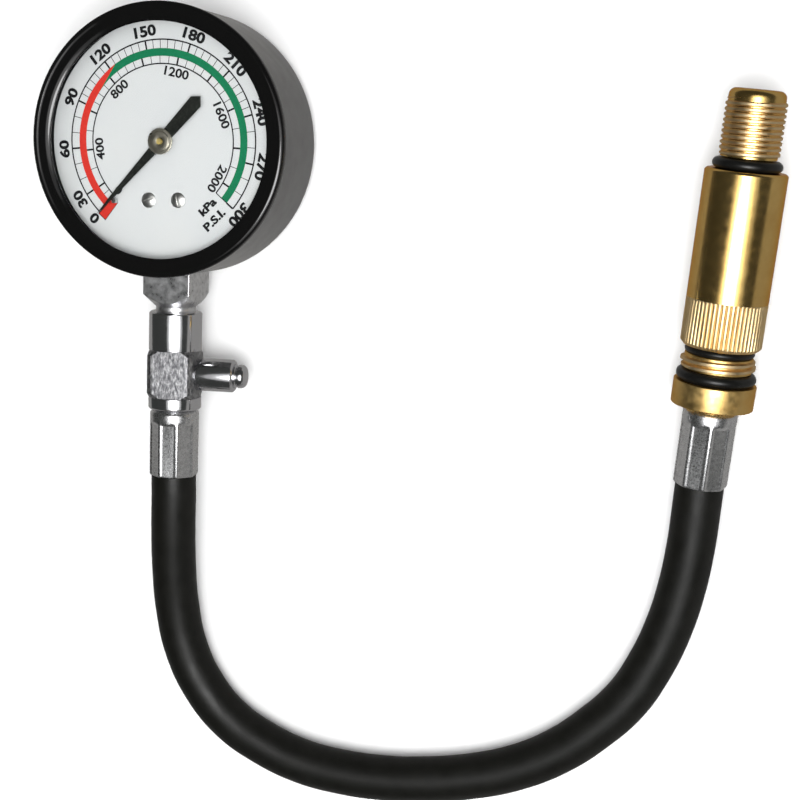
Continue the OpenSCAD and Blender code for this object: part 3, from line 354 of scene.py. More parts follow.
class Finish:
    """A material whose shader sockets are set once, with short calls for the patterns that drive the rest."""

    def __init__(self, name, base, metallic=0.0, roughness=0.5, **more):
        self.material = bpy.data.materials.new(name)
        self.material.use_nodes = True
        self.tree = self.material.node_tree
        self.shader = self.tree.nodes["Principled BSDF"]
        self.height = None
        feed(self.tree, self.shader, Base_Color=(*base, 1), Metallic=metallic, Roughness=roughness, **more)

    def noise(self, size, source="Object", stretch=(1, 1, 1), detail=3, rough=0.5):
        """Noise whose lumps are size millimetres across."""
        coord = add_node(self.tree, "ShaderNodeTexCoord")
        mapping = add_node(self.tree, "ShaderNodeMapping", Vector=coord.outputs[source], Scale=stretch)
        noise = add_node(self.tree, "ShaderNodeTexNoise", Vector=mapping.outputs["Vector"],
                         Scale=1 / (size * MM), Detail=detail, Roughness=rough)
        return noise.outputs["Fac"]

    def roughen(self, value, low, high):
        """Roughness from low to high over the middle of the noise's range."""
        span = add_node(self.tree, "ShaderNodeMapRange", Value=value, From_Min=0.3, From_Max=0.7,
                        To_Min=low, To_Max=high)
        feed(self.tree, self.shader, Roughness=span.outputs["Result"])

    def tint(self, value, *stops):
        """Base colour from stops of (position, colour)."""
        ramp = add_node(self.tree, "ShaderNodeValToRGB", Fac=value)
        set_stops(ramp.color_ramp.elements, stops)
        feed(self.tree, self.shader, Base_Color=ramp.outputs["Color"])

    def bump(self, value, depth):
        """Relief of depth millimetres, laid over any relief already there."""
        bump = add_node(self.tree, "ShaderNodeBump", Height=value, Strength=1.0, Distance=depth * MM)
        if self.height:
            feed(self.tree, bump, Normal=self.height)
        self.height = bump.outputs["Normal"]
        feed(self.tree, self.shader, Normal=self.height)

    def soft_edges(self, radius):
        """Rounds sharp edges by radius millimetres in the shading."""
        bevel = add_node(self.tree, "ShaderNodeBevel", {"samples": 6}, Radius=radius * MM)
        self.height = bevel.outputs["Normal"]
        feed(self.tree, self.shader, Normal=self.height)


def silver(value):
    """A grey that leans a little to blue, as plating does."""
    return (value, value, value + 0.01)


def gloss_black_enamel():
    black = (0.003, 0.003, 0.003)
    finish = Finish("gloss_black_enamel", black, roughness=0.12, Coat_Weight=0.3, Coat_Roughness=0.04)
    finish.roughen(finish.noise(2.5), 0.08, 0.16)
    finish.bump(finish.noise(1.2, detail=2), depth=0.004)
    return finish.material


def case_enamel():
    finish = Finish("case_enamel", (0.05, 0.05, 0.05), roughness=0.34, Coat_Weight=1.0, Coat_Roughness=0.2)
    finish.soft_edges(0.3)
    finish.roughen(finish.noise(6), 0.3, 0.4)
    finish.bump(finish.noise(0.35, detail=2), depth=0.004)
    return finish.material


def lens_glass():
    finish = Finish("lens_glass", (0.01, 0.012, 0.011), roughness=0.02, Alpha=0.06, IOR=1.5)
    finish.roughen(finish.noise(9), 0.01, 0.03)
    return finish.material


def dial_enamel():
    finish = Finish("dial_enamel", (0.66, 0.68, 0.68), roughness=0.42)
    finish.tint(finish.noise(14, detail=4), (0.3, (0.635, 0.66, 0.665)), (0.7, (0.66, 0.68, 0.675)))
    finish.bump(finish.noise(0.3, detail=1), depth=0.002)
    return finish.material


def ink(name, colour, darker):
    finish = Finish(name, colour, roughness=0.5, Specular_IOR_Level=0.2)
    finish.tint(finish.noise(0.6, detail=3), (0.35, darker), (0.65, colour))
    return finish.material


def pointer_paint():
    """Black paint with painted glints: pale specks laid into its colour, and the same specks raised as a fine
    relief.
    """
    black, dim_glint_grey, bright_glint_grey = (0.004, 0.005, 0.004), (0.02, 0.024, 0.018), (0.07, 0.075, 0.06)
    finish = Finish("pointer_paint", (0.008, 0.008, 0.008), roughness=0.35)
    glint_and_relief_specks = finish.noise(0.45, detail=4, rough=0.7)
    # The two paler stops are painted glints: speckled reflections laid into the paint's colour.
    finish.tint(glint_and_relief_specks, (0.45, black), (0.62, dim_glint_grey), (0.72, bright_glint_grey))
    finish.bump(glint_and_relief_specks, depth=0.05)
    return finish.material


def plated(name, colour, rough, grain, lines=True):
    """Bright plating on turned metal, with fine tool lines round it where its own map runs along the axis."""
    finish = Finish(name, colour, metallic=1.0, roughness=rough)
    finish.roughen(finish.noise(3.0), rough * 0.8, rough * 1.3)
    if lines:
        finish.bump(finish.noise(0.25, "UV", stretch=(0.02, 1, 1), detail=2), depth=grain * 0.4)
    finish.bump(finish.noise(1.5, detail=2), depth=grain)
    return finish.material


def milled_plating():
    """Plating over a coarsely milled and tumbled face: pits, crossing cutter marks and bright rubbed edges.
    """
    finish = Finish("milled_plating", silver(0.62), metallic=1.0, roughness=0.3)
    finish.soft_edges(0.25)
    pits = finish.noise(0.6, stretch=(1, 0.4, 1), detail=3, rough=0.65)
    finish.tint(pits, (0.36, silver(0.14)), (0.52, silver(0.3)), (0.7, silver(0.66)))
    finish.roughen(pits, 0.3, 0.5)
    finish.bump(finish.noise(1.3, stretch=(0.3, 1, 1), detail=2), depth=0.08)
    finish.bump(pits, depth=0.04)
    return finish.material


def cast_plating():
    """Plating over a forged block, with blurred darker blotches."""
    finish = Finish("cast_plating", silver(0.55), metallic=1.0, roughness=0.3)
    finish.soft_edges(0.5)
    blotches = finish.noise(2.2, detail=4, rough=0.65)
    finish.tint(blotches, (0.33, silver(0.58)), (0.5, silver(0.84)), (0.66, silver(0.97)))
    finish.roughen(blotches, 0.26, 0.38)
    finish.bump(finish.noise(0.8, detail=3), depth=0.04)
    return finish.material


def crimped_plating():
    """Plating on pressed panels: bright, with a fine mottled grain that the press left."""
    finish = Finish("crimped_plating", silver(0.66), metallic=1.0, roughness=0.28)
    finish.soft_edges(0.15)
    grain = finish.noise(0.4, detail=3, rough=0.65)
    finish.tint(finish.noise(0.9, detail=4, rough=0.7), (0.35, silver(0.62)), (0.65, silver(0.88)))
    finish.roughen(grain, 0.22, 0.36)
    finish.bump(grain, depth=0.012)
    return finish.material


ORANGE_SLANT = (1.0, 0.66, 0.4, 1)
TAN_SLANT = (1.0, 0.78, 0.56, 1)


def brass(name, colour, darker, rough, grain, source="UV", slant=ORANGE_SLANT):
    """Turned brass, whose reflections take the colour slant where it is seen at a slant."""
    finish = Finish(name, colour, metallic=1.0, roughness=rough, Specular_Tint=slant)
    finish.tint(finish.noise(4.0, detail=4), (0.3, darker), (0.65, colour))
    finish.roughen(finish.noise(1.6), rough * 0.8, rough * 1.4)
    finish.bump(finish.noise(0.22, source, stretch=(0.02, 1, 1), detail=2), depth=grain)
    return finish.material


def rubber(name, colour, rough, grain, gloss=0.5):
    finish = Finish(name, colour, roughness=rough, Specular_IOR_Level=gloss)
    finish.tint(finish.noise(3.0, detail=4), (0.35, tuple(0.7 * c for c in colour)), (0.7, colour))
    finish.roughen(finish.noise(5.0), rough * 0.85, rough * 1.15)
    finish.bump(finish.noise(0.4, detail=3), depth=grain)
    return finish.material


def inner_metal(name, colour, rough):
    finish = Finish(name, colour, metallic=1.0, roughness=rough)
    finish.roughen(finish.noise(1.5), rough * 0.8, rough * 1.3)
    finish.bump(finish.noise(0.3, stretch=(1, 0.15, 1), detail=2), depth=0.006)
    return finish.material


ENAMEL = gloss_black_enamel()
CASE = case_enamel()
GLASS = lens_glass()
DIAL_WHITE = dial_enamel()
INK_BLACK = ink("ink_black", (0.012, 0.012, 0.014), darker=(0.006, 0.006, 0.007))
INK_RED = ink("ink_red", (0.66, 0.035, 0.022), darker=(0.6, 0.03, 0.02))
INK_GREEN = ink("ink_green", (0.004, 0.195, 0.08), darker=(0.003, 0.17, 0.07))
POINTER_PAINT = pointer_paint()
HUB_NICKEL = plated("hub_nickel", (0.74, 0.7, 0.58), rough=0.3, grain=0.02)
SCREW_NICKEL = plated("screw_nickel", (0.9, 0.9, 0.87), rough=0.38, grain=0.02, lines=False)
CHROME = plated("turned_chrome", (0.72, 0.72, 0.74), rough=0.12, grain=0.008)
MILLED = milled_plating()
CAST = cast_plating()
CRIMPED = crimped_plating()
BRASS = brass("turned_brass", (0.87, 0.59, 0.21), darker=(0.79, 0.51, 0.17), rough=0.19, grain=0.008)
SATIN_BRASS = brass("satin_brass", (0.87, 0.6, 0.23), darker=(0.78, 0.5, 0.17), rough=0.36, grain=0.012)
KNURL_BRASS = brass("knurled_brass", (0.93, 0.74, 0.42), darker=(0.86, 0.64, 0.32), rough=0.4, grain=0.012,
                    source="Object")
THREAD_BRASS = brass("thread_brass", (0.88, 0.69, 0.41), darker=(0.77, 0.58, 0.32), rough=0.4, grain=0.012,
                     source="Object", slant=TAN_SLANT)
SEAL_RUBBER = rubber("seal_rubber", (0.006, 0.006, 0.0055), rough=0.32, grain=0.01, gloss=0.36)
HOSE_RUBBER = rubber("hose_cover", (0.0055, 0.0055, 0.0042), rough=0.44, grain=0.03, gloss=0.3)
GASKET = rubber("gasket_rubber", (0.02, 0.02, 0.02), rough=0.6, grain=0.02)
STEEL = inner_metal("bright_steel", (0.6, 0.6, 0.6), rough=0.3)
ZINC = inner_metal("zinc_plate", (0.62, 0.62, 0.6), rough=0.38)
INNER_BRASS = inner_metal("clock_brass", (0.82, 0.6, 0.24), rough=0.3)
SHAFT_BRASS = inner_metal("shaft_brass", (0.95, 0.78, 0.3), rough=0.55)

# Nodes that keep the shape of the solids, after the material of each
KEPT_NODES = (
    (CASE, "case"),
    (ZINC, "case_screws"),
    (GLASS, "lens"),
    (GASKET, "lens_gasket"),
    (DIAL_WHITE, "dial_plate"),
    (SHAFT_BRASS, "pinion_shaft"),
    (CAST, "socket_stem"),
    (SEAL_RUBBER, "relief_seal", "check_seal"),
    (STEEL, "stop_pin", "sector_arbor", "movement_screws", "hairspring", "relief_stem", "relief_spring",
     "check_pin", "check_spring"),
    (INNER_BRASS, "sector_gear", "movement_back_plate", "movement_front_plate", "movement_pillars",
     "bourdon_tube", "bourdon_tip", "link", "gauge_nipple", "check_body"),
)
for material, *node_names in KEPT_NODES:
    for node_name in node_names:
        for held in NODES[node_name].material_slots:
            held.material = material


# Making pieces

# Vertices closer than this become one
WELD = 1e-4


def piece(name, mesh, body, material, stands_for=(), sharp=35):
    """A finished mesh becomes a piece that rides on a body and stands for nodes of the solids."""
    mesh.polygons.foreach_set("use_smooth", [True] * len(mesh.polygons))
    mesh.set_sharp_from_angle(angle=math.radians(sharp))
    mesh.materials.clear()
    mesh.materials.append(material)
    obj = add_object(name, mesh)
    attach(obj, body)
    if stands_for:
        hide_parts(*stands_for)


def open_mesh(work, name, place=Matrix()):
    """A working mesh as it is, set in its place."""
    mesh = bpy.data.meshes.new(name)
    work.to_mesh(mesh)
    work.free()
    mesh.transform(place)
    return mesh


def closed_mesh(work, name, place):
    """Closes a working mesh in millimetres, turns its faces outwards and sets it in its place."""
    bmesh.ops.remove_doubles(work, verts=work.verts, dist=WELD)
    bmesh.ops.recalc_face_normals(work, faces=work.faces)
    return open_mesh(work, name, place)


def ring_of(work, height, reaches, angles):
    """Vertices at these distances from Z, or one vertex for all of them where every distance is nothing."""
    if not any(reaches):
        return [work.verts.new((0, 0, height))] * len(angles)
    return [work.verts.new((r * math.cos(a), r * math.sin(a), height)) for r, a in zip(reaches, angles)]


def bridge(work, rings, closed=True):
    """Faces between each ring of vertices and the next."""
    for low, high in zip(rings, rings[1:]):
        for k in range(len(low) if closed else len(low) - 1):
            k2 = (k + 1) % len(low)
            corners = [low[k], low[k2], high[k2], high[k]]
            work.faces.new([c for j, c in enumerate(corners) if c is not corners[j - 1]])


def ease(points, radius, closed=False):
    """The same outline with each corner rounded by about radius."""
    count, steps = len(points), 3
    eased = []
    for i, here in enumerate(points):
        if not closed and i in (0, count - 1):
            eased.append(here)
            continue
        here = Vector(here)
        before, after = Vector(points[i - 1]), Vector(points[(i + 1) % count])
        cut = min(radius, (before - here).length * 0.45, (after - here).length * 0.45)
        start = here + (before - here).normalized() * cut
        end = here + (after - here).normalized() * cut
        for k in range(steps + 1):
            t = k / steps
            eased.append(tuple(start * (1 - t) ** 2 + here * 2 * t * (1 - t) + end * t ** 2))
    return eased


def turned(name, profile, place, closed=False, segments=SEGMENTS):
    """Turns an outline of (radius, height) round Z, with its own map: metres round, then metres along."""
    work = bmesh.new()
    uv = work.loops.layers.uv.verify()
    angles = [2 * math.pi * k / segments for k in range(segments)]
    rings = [ring_of(work, z, [r] * segments, angles) for r, z in profile]
    run = [0.0]
    for (r0, z0), (r1, z1) in zip(profile, profile[1:] + profile[:1]):
        run.append(run[-1] + math.hypot(r1 - r0, z1 - z0))
    round_r = max(r for r, _ in profile)
    for i in range(len(profile) if closed else len(profile) - 1):
        low, high = rings[i], rings[(i + 1) % len(rings)]
        for k in range(segments):
            k2 = (k + 1) % segments
            corners = [(low[k], k, i), (low[k2], k + 1, i), (high[k2], k + 1, i + 1), (high[k], k, i + 1)]
            kept = [c for j, c in enumerate(corners) if c[0] is not corners[j - 1][0]]
            face = work.faces.new([c[0] for c in kept])
            for loop, (_, step, row) in zip(face.loops, kept):
                loop[uv].uv = (step / segments * 2 * math.pi * round_r * MM, run[row] * MM)
    return closed_mesh(work, name, place)


def joined(name, meshes):
    """Several meshes, already in place, as one."""
    work = bmesh.new()
    for mesh in meshes:
        work.from_mesh(mesh)
        bpy.data.meshes.remove(mesh)
    return open_mesh(work, name)


def evaluated(obj):
    """The object's shape with its modifiers, as a plain mesh."""
    return bpy.data.meshes.new_from_object(obj.evaluated_get(bpy.context.evaluated_depsgraph_get()))


# Geometry Nodes trees

class Tree:
    """A Geometry Nodes tree under construction. It ends in Realize Instances and Set Material."""

    def __init__(self, name, **inputs):
        self.group = bpy.data.node_groups.new(name, "GeometryNodeTree")
        self.group.interface.new_socket("Geometry", in_out="OUTPUT", socket_type="NodeSocketGeometry")
        self.sockets = {}
        for label, kind in inputs.items():
            label = label.replace("_", " ")
            socket = self.group.interface.new_socket(label, in_out="INPUT", socket_type="NodeSocket" + kind)
            self.sockets[label] = socket.identifier
        self.start = self.group.nodes.new("NodeGroupInput")
        self.end = self.group.nodes.new("NodeGroupOutput")

    def value(self, label):
        return self.start.outputs[label]

    def node(self, kind, settings=None, **inputs):
        return add_node(self.group, kind, settings, **inputs)

    def math(self, operation, a, b):
        node = self.node("ShaderNodeMath", {"operation": operation})
        put(self.group, node.inputs[0], a)
        put(self.group, node.inputs[1], b)
        return node.outputs[0]

    def times(self, a, b):
        return self.math("MULTIPLY", a, b)

    def finish(self, geometry):
        real = self.node("GeometryNodeRealizeInstances", Geometry=geometry)
        coat = self.node("GeometryNodeSetMaterial", Geometry=real.outputs[0], Material=self.value("Material"))
        self.group.links.new(coat.outputs[0], self.end.inputs[0])
        return self

    def bake(self, name, mesh=None, **values):
        """The tree's result for these inputs as a plain mesh."""
        obj = add_object(name, mesh or bpy.data.meshes.new(name))
        modifier = obj.modifiers.new(name, "NODES")
        modifier.node_group = self.group
        for label, value in values.items():
            modifier[self.sockets[label.replace("_", " ")]] = value
        baked = evaluated(obj)
        obj.modifiers.remove(modifier)
        bpy.data.objects.remove(obj)
        return baked


def repeat_around_tree():
    """Copies of the incoming shape round Z, a fixed angle apart."""
    tree = Tree("repeat_around", Geometry="Geometry", Count="Int", Step_Angle="Float", Material="Material")
    count = tree.value("Count")
    places = tree.node("GeometryNodeMeshLine", {"mode": "OFFSET"}, Count=count, Offset=(0, 0, 0))
    index = tree.node("GeometryNodeInputIndex").outputs[0]
    way = tree.node("ShaderNodeCombineXYZ", Z=tree.times(index, tree.value("Step Angle")))
    copies = tree.node("GeometryNodeInstanceOnPoints", Points=places.outputs[0],
                       Instance=tree.value("Geometry"), Rotation=way.outputs[0])
    return tree.finish(copies.outputs[0])


def thread_tree():
    """One helical ridge with a flat crest, run out to nothing at both ends."""
    foot_share, crest_share, sunk_share = 0.47, 0.2, 0.25
    grown_per_turn, least_height = 2.5, 0.05
    tree = Tree("screw_thread", Root_Radius="Float", Depth="Float", Pitch="Float", Turns="Float",
                Steps_Per_Turn="Int", Material="Material")
    root, top, pitch, turns = (tree.value(label) for label in ("Root Radius", "Depth", "Pitch", "Turns"))
    spiral = tree.node("GeometryNodeCurveSpiral", Resolution=tree.value("Steps Per Turn"), Rotations=turns,
                       Start_Radius=root, End_Radius=root, Height=tree.times(pitch, turns), Reverse=True)
    upright = tree.node("GeometryNodeSetCurveNormal", {"mode": "Z_UP"}, Curve=spiral.outputs[0])
    reached = tree.node("GeometryNodeSplineParameter").outputs["Factor"]
    to_end = tree.math("MINIMUM", reached, tree.math("SUBTRACT", 1.0, reached))
    grown = tree.math("MINIMUM", tree.times(tree.times(to_end, turns), grown_per_turn), 1.0)
    height = tree.math("MAXIMUM", grown, least_height)
    foot, crest = tree.times(pitch, foot_share), tree.times(pitch, crest_share)
    sunk = tree.times(top, -sunk_share)
    profile = tree.node("GeometryNodeCurvePrimitiveQuadrilateral", {"mode": "POINTS"})
    corners = ((sunk, tree.times(foot, -1.0)), (top, tree.times(crest, -1.0)), (top, crest), (sunk, foot))
    for label, (x, y) in zip(("Point 1", "Point 2", "Point 3", "Point 4"), corners):
        put(tree.group, profile.inputs[label], tree.node("ShaderNodeCombineXYZ", X=x, Y=y).outputs[0])
    ridge = tree.node("GeometryNodeCurveToMesh", Curve=upright.outputs[0], Profile_Curve=profile.outputs[0],
                      Scale=height, Fill_Caps=True)
    return tree.finish(ridge.outputs[0])


def seal_ring_tree():
    """A ring of round section."""
    tree = Tree("seal_ring", Ring_Radius="Float", Section_Radius="Float", Material="Material")
    circle = "GeometryNodeCurvePrimitiveCircle"
    path = tree.node(circle, Resolution=96, Radius=tree.value("Ring Radius"))
    section = tree.node(circle, Resolution=24, Radius=tree.value("Section Radius"))
    ring = tree.node("GeometryNodeCurveToMesh", Curve=path.outputs[0], Profile_Curve=section.outputs[0])
    return tree.finish(ring.outputs[0])


def scale_marks_tree():
    """A flat bar on each incoming point, with its own turn, thickness and length."""
    tree = Tree("scale_marks", Geometry="Geometry", Material="Material")
    bar = tree.node("GeometryNodeMeshGrid", Size_X=1.0, Size_Y=1.0, Vertices_X=2, Vertices_Y=2)

    def held(label):
        return tree.node("GeometryNodeInputNamedAttribute", {"data_type": "FLOAT"}, Name=label).outputs[0]

    way = tree.node("ShaderNodeCombineXYZ", Z=held("turn"))
    size = tree.node("ShaderNodeCombineXYZ", X=held("thickness"), Y=held("length"), Z=1.0)
    bars = tree.node("GeometryNodeInstanceOnPoints", Points=tree.value("Geometry"), Instance=bar.outputs[0],
                     Rotation=way.outputs[0], Scale=size.outputs[0])
    return tree.finish(bars.outputs[0])


REPEAT_AROUND = repeat_around_tree()
SCREW_THREAD = thread_tree()
SEAL_RING = seal_ring_tree()
SCALE_MARKS = scale_marks_tree()


# Hose

def make_hose():
    curve = bpy.data.curves.new("hose", "CURVE")
    curve.dimensions = "3D"
    curve.bevel_depth = HOSE_D / 2 * MM
    curve.bevel_resolution = 12
    curve.resolution_u = 10
    curve.use_fill_caps = True
    curve.materials.append(HOSE_RUBBER)
    spline = curve.splines.new("BEZIER")
    spline.bezier_points.add(len(HOSE_ROUTE) - 1)
    for point, place in zip(spline.bezier_points, HOSE_ROUTE):
        point.co = Vector(place) * MM
        point.handle_left_type = point.handle_right_type = "AUTO"
    hose = add_object("rubber_hose", curve)
    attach(hose, "tester")
    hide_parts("hose")


make_hose()


# Gauge: bezel, dial print, dial screws, pointer

def make_bezel():
    rim = [(BEZEL_R - inset, BEZEL_TOP - drop) for inset, drop in BEZEL_RIM]
    slope = [(LIP_R + out, BEZEL_TOP - drop) for out, drop in BEZEL_SLOPE]
    profile = ([(SKIRT_R, SKIRT_LOW), (SKIRT_R, BEZEL_LOW), (BEZEL_R, BEZEL_LOW)] + rim + slope
               + [(LIP_R, LIP_LOW), (LENS_SEAT_R, LIP_LOW), (LENS_SEAT_R, SKIRT_LOW)])
    mesh = turned("front_bezel", ease(profile, 0.16, closed=True), ROW, closed=True, segments=192)
    piece("front_bezel", mesh, "tester", ENAMEL, ["bezel"], sharp=60)


# Angles on the dial are degrees clockwise from straight down, and the scale is closer up to its first mark
ZERO_ANGLE = 45
FIRST_PSI = 30
FIRST_PSI_ANGLE = 58
DEGREES_PER_PSI = 0.939
LAST_PSI = 300
KPA_PER_PSI = 6.895
OUTER_RING_R = 25.05
OUTER_RING_W = 0.36
INNER_RING_R = 19.15
INNER_RING_W = 0.33
BAND_IN = 21.0
BAND_OUT = 22.9
RED_END_PSI_IN = 100
RED_END_PSI_OUT = 125
MARK_THICK = 0.46
MARK_THIN = 0.17
MARK_END = 0.25
ZERO_MARK_OVER = 0.6
# Block before the zero mark: where it and its red start, and the radii of its red and of the lines round it
ZERO_BLOCK_START = 39.3
ZERO_RED_START = 39.7
ZERO_RED = (19.9, 25.4)
ZERO_SIDE_LINE = (19.8, 25.6)
ZERO_END_LINES = ((19.75, 19.95), (25.4, 25.6))
# Height, added weight and widening of each kind of lettering
PSI_LETTERS = (2.6, 0.15, 1.24)
KPA_LETTERS = (2.25, 0.09, 1.18)
UNIT_LETTERS = (2.05, 0.13, 1.32)
CAPITAL_SHARE = 0.73
PSI_FIGURES_R = 27.15
KPA_FIGURES_R = 17.2
KPA_ZERO_ANGLE = 45.5
UNIT_TURN = 43
KPA_AT = (12.0, -16.3)
PSI_AT = (13.8, -19.5)
BAND_Z = DIAL_TOP + 0.012
INK_Z = DIAL_TOP + 0.02
ARC_STEP = 1.5


def psi_angle(psi):
    if psi < FIRST_PSI:
        return ZERO_ANGLE + (FIRST_PSI_ANGLE - ZERO_ANGLE) * psi / FIRST_PSI
    return FIRST_PSI_ANGLE + DEGREES_PER_PSI * (psi - FIRST_PSI)


def dial_point(angle, radius, z):
    a = math.radians(angle)
    return Vector((-radius * math.sin(a), -radius * math.cos(a), z))


def print_area(work, inner, outer, z):
    """A strip of ink between two arcs of (radius, first angle, last angle)."""
    count = max(1, math.ceil(max(last - first for _, first, last in (inner, outer)) / ARC_STEP))
    rows = []
    for r, first, last in (inner, outer):
        angles = [first + (last - first) * k / count for k in range(count + 1)]
        rows.append([work.verts.new(dial_point(angle, r, z)) for angle in angles])
    bridge(work, rows, closed=False)


def print_mesh(work, name):
    """Printed areas, facing up, on the dial."""
    for face in work.faces:
        face.normal_update()
        if face.normal.z < 0:
            face.normal_flip()
    return open_mesh(work, name, DIAL)


def dial_marks():
    """(angle, thickness, inner radius, outer radius) of each mark on both scales."""
    marks = [(psi_angle(LAST_PSI), MARK_END, INNER_RING_R, OUTER_RING_R),
             (ZERO_ANGLE, MARK_END, INNER_RING_R, OUTER_RING_R + ZERO_MARK_OVER)]
    for psi in [*range(30, 91, 10), *range(95, 240, 5), *range(240, 301, 10)]:
        width = MARK_THIN if psi % 30 else MARK_THICK
        marks.append((psi_angle(psi), width, BAND_OUT, OUTER_RING_R))
    for kpa in [*range(100, 601, 100), *range(650, 1601, 50), *range(1700, 2001, 100)]:
        width = MARK_THIN if kpa % 200 else MARK_THICK
        marks.append((psi_angle(kpa / KPA_PER_PSI), width, INNER_RING_R, BAND_IN))
    return marks


def make_scale_marks():
    marks = dial_marks()
    points = bpy.data.meshes.new("scale_points")
    points.from_pydata([dial_point(angle, (r0 + r1) / 2, INK_Z) for angle, _, r0, r1 in marks], [], [])
    bars = {"turn": [-math.radians(angle) for angle, *_ in marks],
            "thickness": [width for _, width, *_ in marks],
            "length": [r1 - r0 for *_, r0, r1 in marks]}
    for label, values in bars.items():
        points.attributes.new(label, "FLOAT", "POINT").data.foreach_set("value", values)
    printed = SCALE_MARKS.bake("scale_marks", points, Material=INK_BLACK)
    printed.transform(DIAL)
    span = (ZERO_ANGLE, psi_angle(LAST_PSI))
    work = bmesh.new()
    for radius, width in ((OUTER_RING_R, OUTER_RING_W), (INNER_RING_R, INNER_RING_W)):
        print_area(work, (radius - width / 2, *span), (radius + width / 2, *span), INK_Z)
    whole = joined("scale_marks", [printed, print_mesh(work, "scale_rings")])
    piece("scale_marks", whole, "tester", INK_BLACK)


def make_print(name, areas, material, z):
    """Areas of (inner arc, outer arc) printed in one colour."""
    work = bmesh.new()
    for inner, outer in areas:
        print_area(work, inner, outer, z)
    piece(name, print_mesh(work, name), "tester", material)


def make_bands():
    def between(radii, first, last):
        return (radii[0], first, last), (radii[1], first, last)

    red_in, red_out, last = psi_angle(RED_END_PSI_IN), psi_angle(RED_END_PSI_OUT), psi_angle(LAST_PSI)
    red = [((BAND_IN, ZERO_ANGLE, red_in), (BAND_OUT, ZERO_ANGLE, red_out)),
           between(ZERO_RED, ZERO_RED_START, ZERO_ANGLE)]
    green = [((BAND_IN, red_in, last), (BAND_OUT, red_out, last))]
    lines = [between(ZERO_SIDE_LINE, ZERO_BLOCK_START, ZERO_RED_START)]
    lines += [between(radii, ZERO_BLOCK_START, ZERO_ANGLE) for radii in ZERO_END_LINES]
    make_print("red_band", red, INK_RED, BAND_Z)
    make_print("green_band", green, INK_GREEN, BAND_Z)
    make_print("zero_block_outline", lines, INK_BLACK, INK_Z)


def label_mesh(text, place, way, letters):
    """Plain letters, centred on a place of the dial and turned by way."""
    height, weight, squeeze = letters
    curve = bpy.data.curves.new("label", "FONT")
    curve.body = text
    curve.align_x = "CENTER"
    curve.align_y = "CENTER"
    curve.size = height / CAPITAL_SHARE
    curve.offset = weight
    curve.resolution_u = 4
    label = add_object("label", curve)
    mesh = evaluated(label)
    bpy.data.objects.remove(label)
    mesh.transform(Matrix.Diagonal((squeeze, 1, 1, 1)))
    mesh.transform(DIAL @ Matrix.Translation(place) @ turn(way, "Z"))
    return mesh


def make_figures():
    figures = [(psi, psi_angle(psi), PSI_FIGURES_R, PSI_LETTERS) for psi in range(0, 301, 30)]
    figures += [(kpa, psi_angle(kpa / KPA_PER_PSI), KPA_FIGURES_R, KPA_LETTERS)
                for kpa in range(400, 2001, 400)]
    meshes = [label_mesh(str(number), dial_point(angle, radius, INK_Z), 180 - angle, letters)
              for number, angle, radius, letters in figures]
    zero_at = dial_point(KPA_ZERO_ANGLE, KPA_FIGURES_R, INK_Z)
    meshes.append(label_mesh("0", zero_at, 180 - ZERO_ANGLE, KPA_LETTERS))
    meshes.append(label_mesh("kPa", (*KPA_AT, INK_Z), UNIT_TURN, UNIT_LETTERS))
    meshes.append(label_mesh("P.S.I.", (*PSI_AT, INK_Z), UNIT_TURN, UNIT_LETTERS))
    piece("dial_figures", joined("dial_figures", meshes), "tester", INK_BLACK)


def screw_head(place, slot_turn):
    """A domed head with a slot cut across it."""
    foot, top, steps = DIAL_TOP + DIAL_SCREW_GAP, DIAL_TOP + DIAL_SCREW_H, 6
    profile = [(0, foot), (DIAL_SCREW_R, foot)]
    for k in range(steps + 1):
        out = 1 - k / steps
        profile.append((DIAL_SCREW_R * out, top - DIAL_SCREW_DOME * out ** 2))
    head = add_object("head", turned("head", ease(profile, 0.1), place, segments=48))
    block = bmesh.new()
    bmesh.ops.create_cube(block, size=1)
    size = Matrix.Diagonal((DIAL_SLOT_LEN, DIAL_SLOT_W, DIAL_SLOT_DEPTH * 2, 1))
    cutter = add_object("slot", open_mesh(block, "slot", place @ along(top) @ turn(slot_turn, "Z") @ size))
    cut = head.modifiers.new("slot", "BOOLEAN")
    cut.operation = "DIFFERENCE"
    cut.solver = "EXACT"
    cut.object = cutter
    mesh = evaluated(head)
    for obj in (head, cutter):
        bpy.data.objects.remove(obj)
    return mesh


def make_dial_screws():
    x, y = DIAL_SCREWS_AT
    heads = [screw_head(DIAL @ Matrix.Translation((side * x, y, 0)), slot_turn)
             for side, slot_turn in zip((-1, 1), DIAL_SLOT_TURNS)]
    both = joined("dial_screw_heads", heads)
    piece("dial_screw_heads", both, "tester", SCREW_NICKEL, ["dial_screws"])


def make_needle():
    needle = [(NEEDLE_HALF, 0), (NEEDLE_FINE_HALF, -NEEDLE_FINE_FROM), (0, -NEEDLE_REACH),
              (-NEEDLE_FINE_HALF, -NEEDLE_FINE_FROM), (-NEEDLE_HALF, 0)]
    tail = [(-TAIL_HALF, 0), (-TAIL_WIDE_HALF, TAIL_WIDE_AT), (0, TAIL_REACH), (TAIL_WIDE_HALF, TAIL_WIDE_AT),
            (TAIL_HALF, 0)]
    low, top, rim = POINTER_Z, POINTER_Z + POINTER_T, POINTER_RIM
    work = bmesh.new()
    rows = []
    for z, inset in ((low, rim), (low + rim, 0), (top - rim, 0), (top, rim)):
        slim, short = 1 - inset / NEEDLE_HALF, 1 - inset / NEEDLE_FINE_FROM
        rows.append([work.verts.new((x * slim, y * short, z)) for x, y in needle + tail])
    bridge(work, rows)
    work.faces.new(rows[0][::-1])
    work.faces.new(rows[-1])
    mesh = closed_mesh(work, "needle", ROW @ turn(POINTER_TURN, "Z"))
    piece("needle", mesh, "pointer", POINTER_PAINT, ["pointer"])


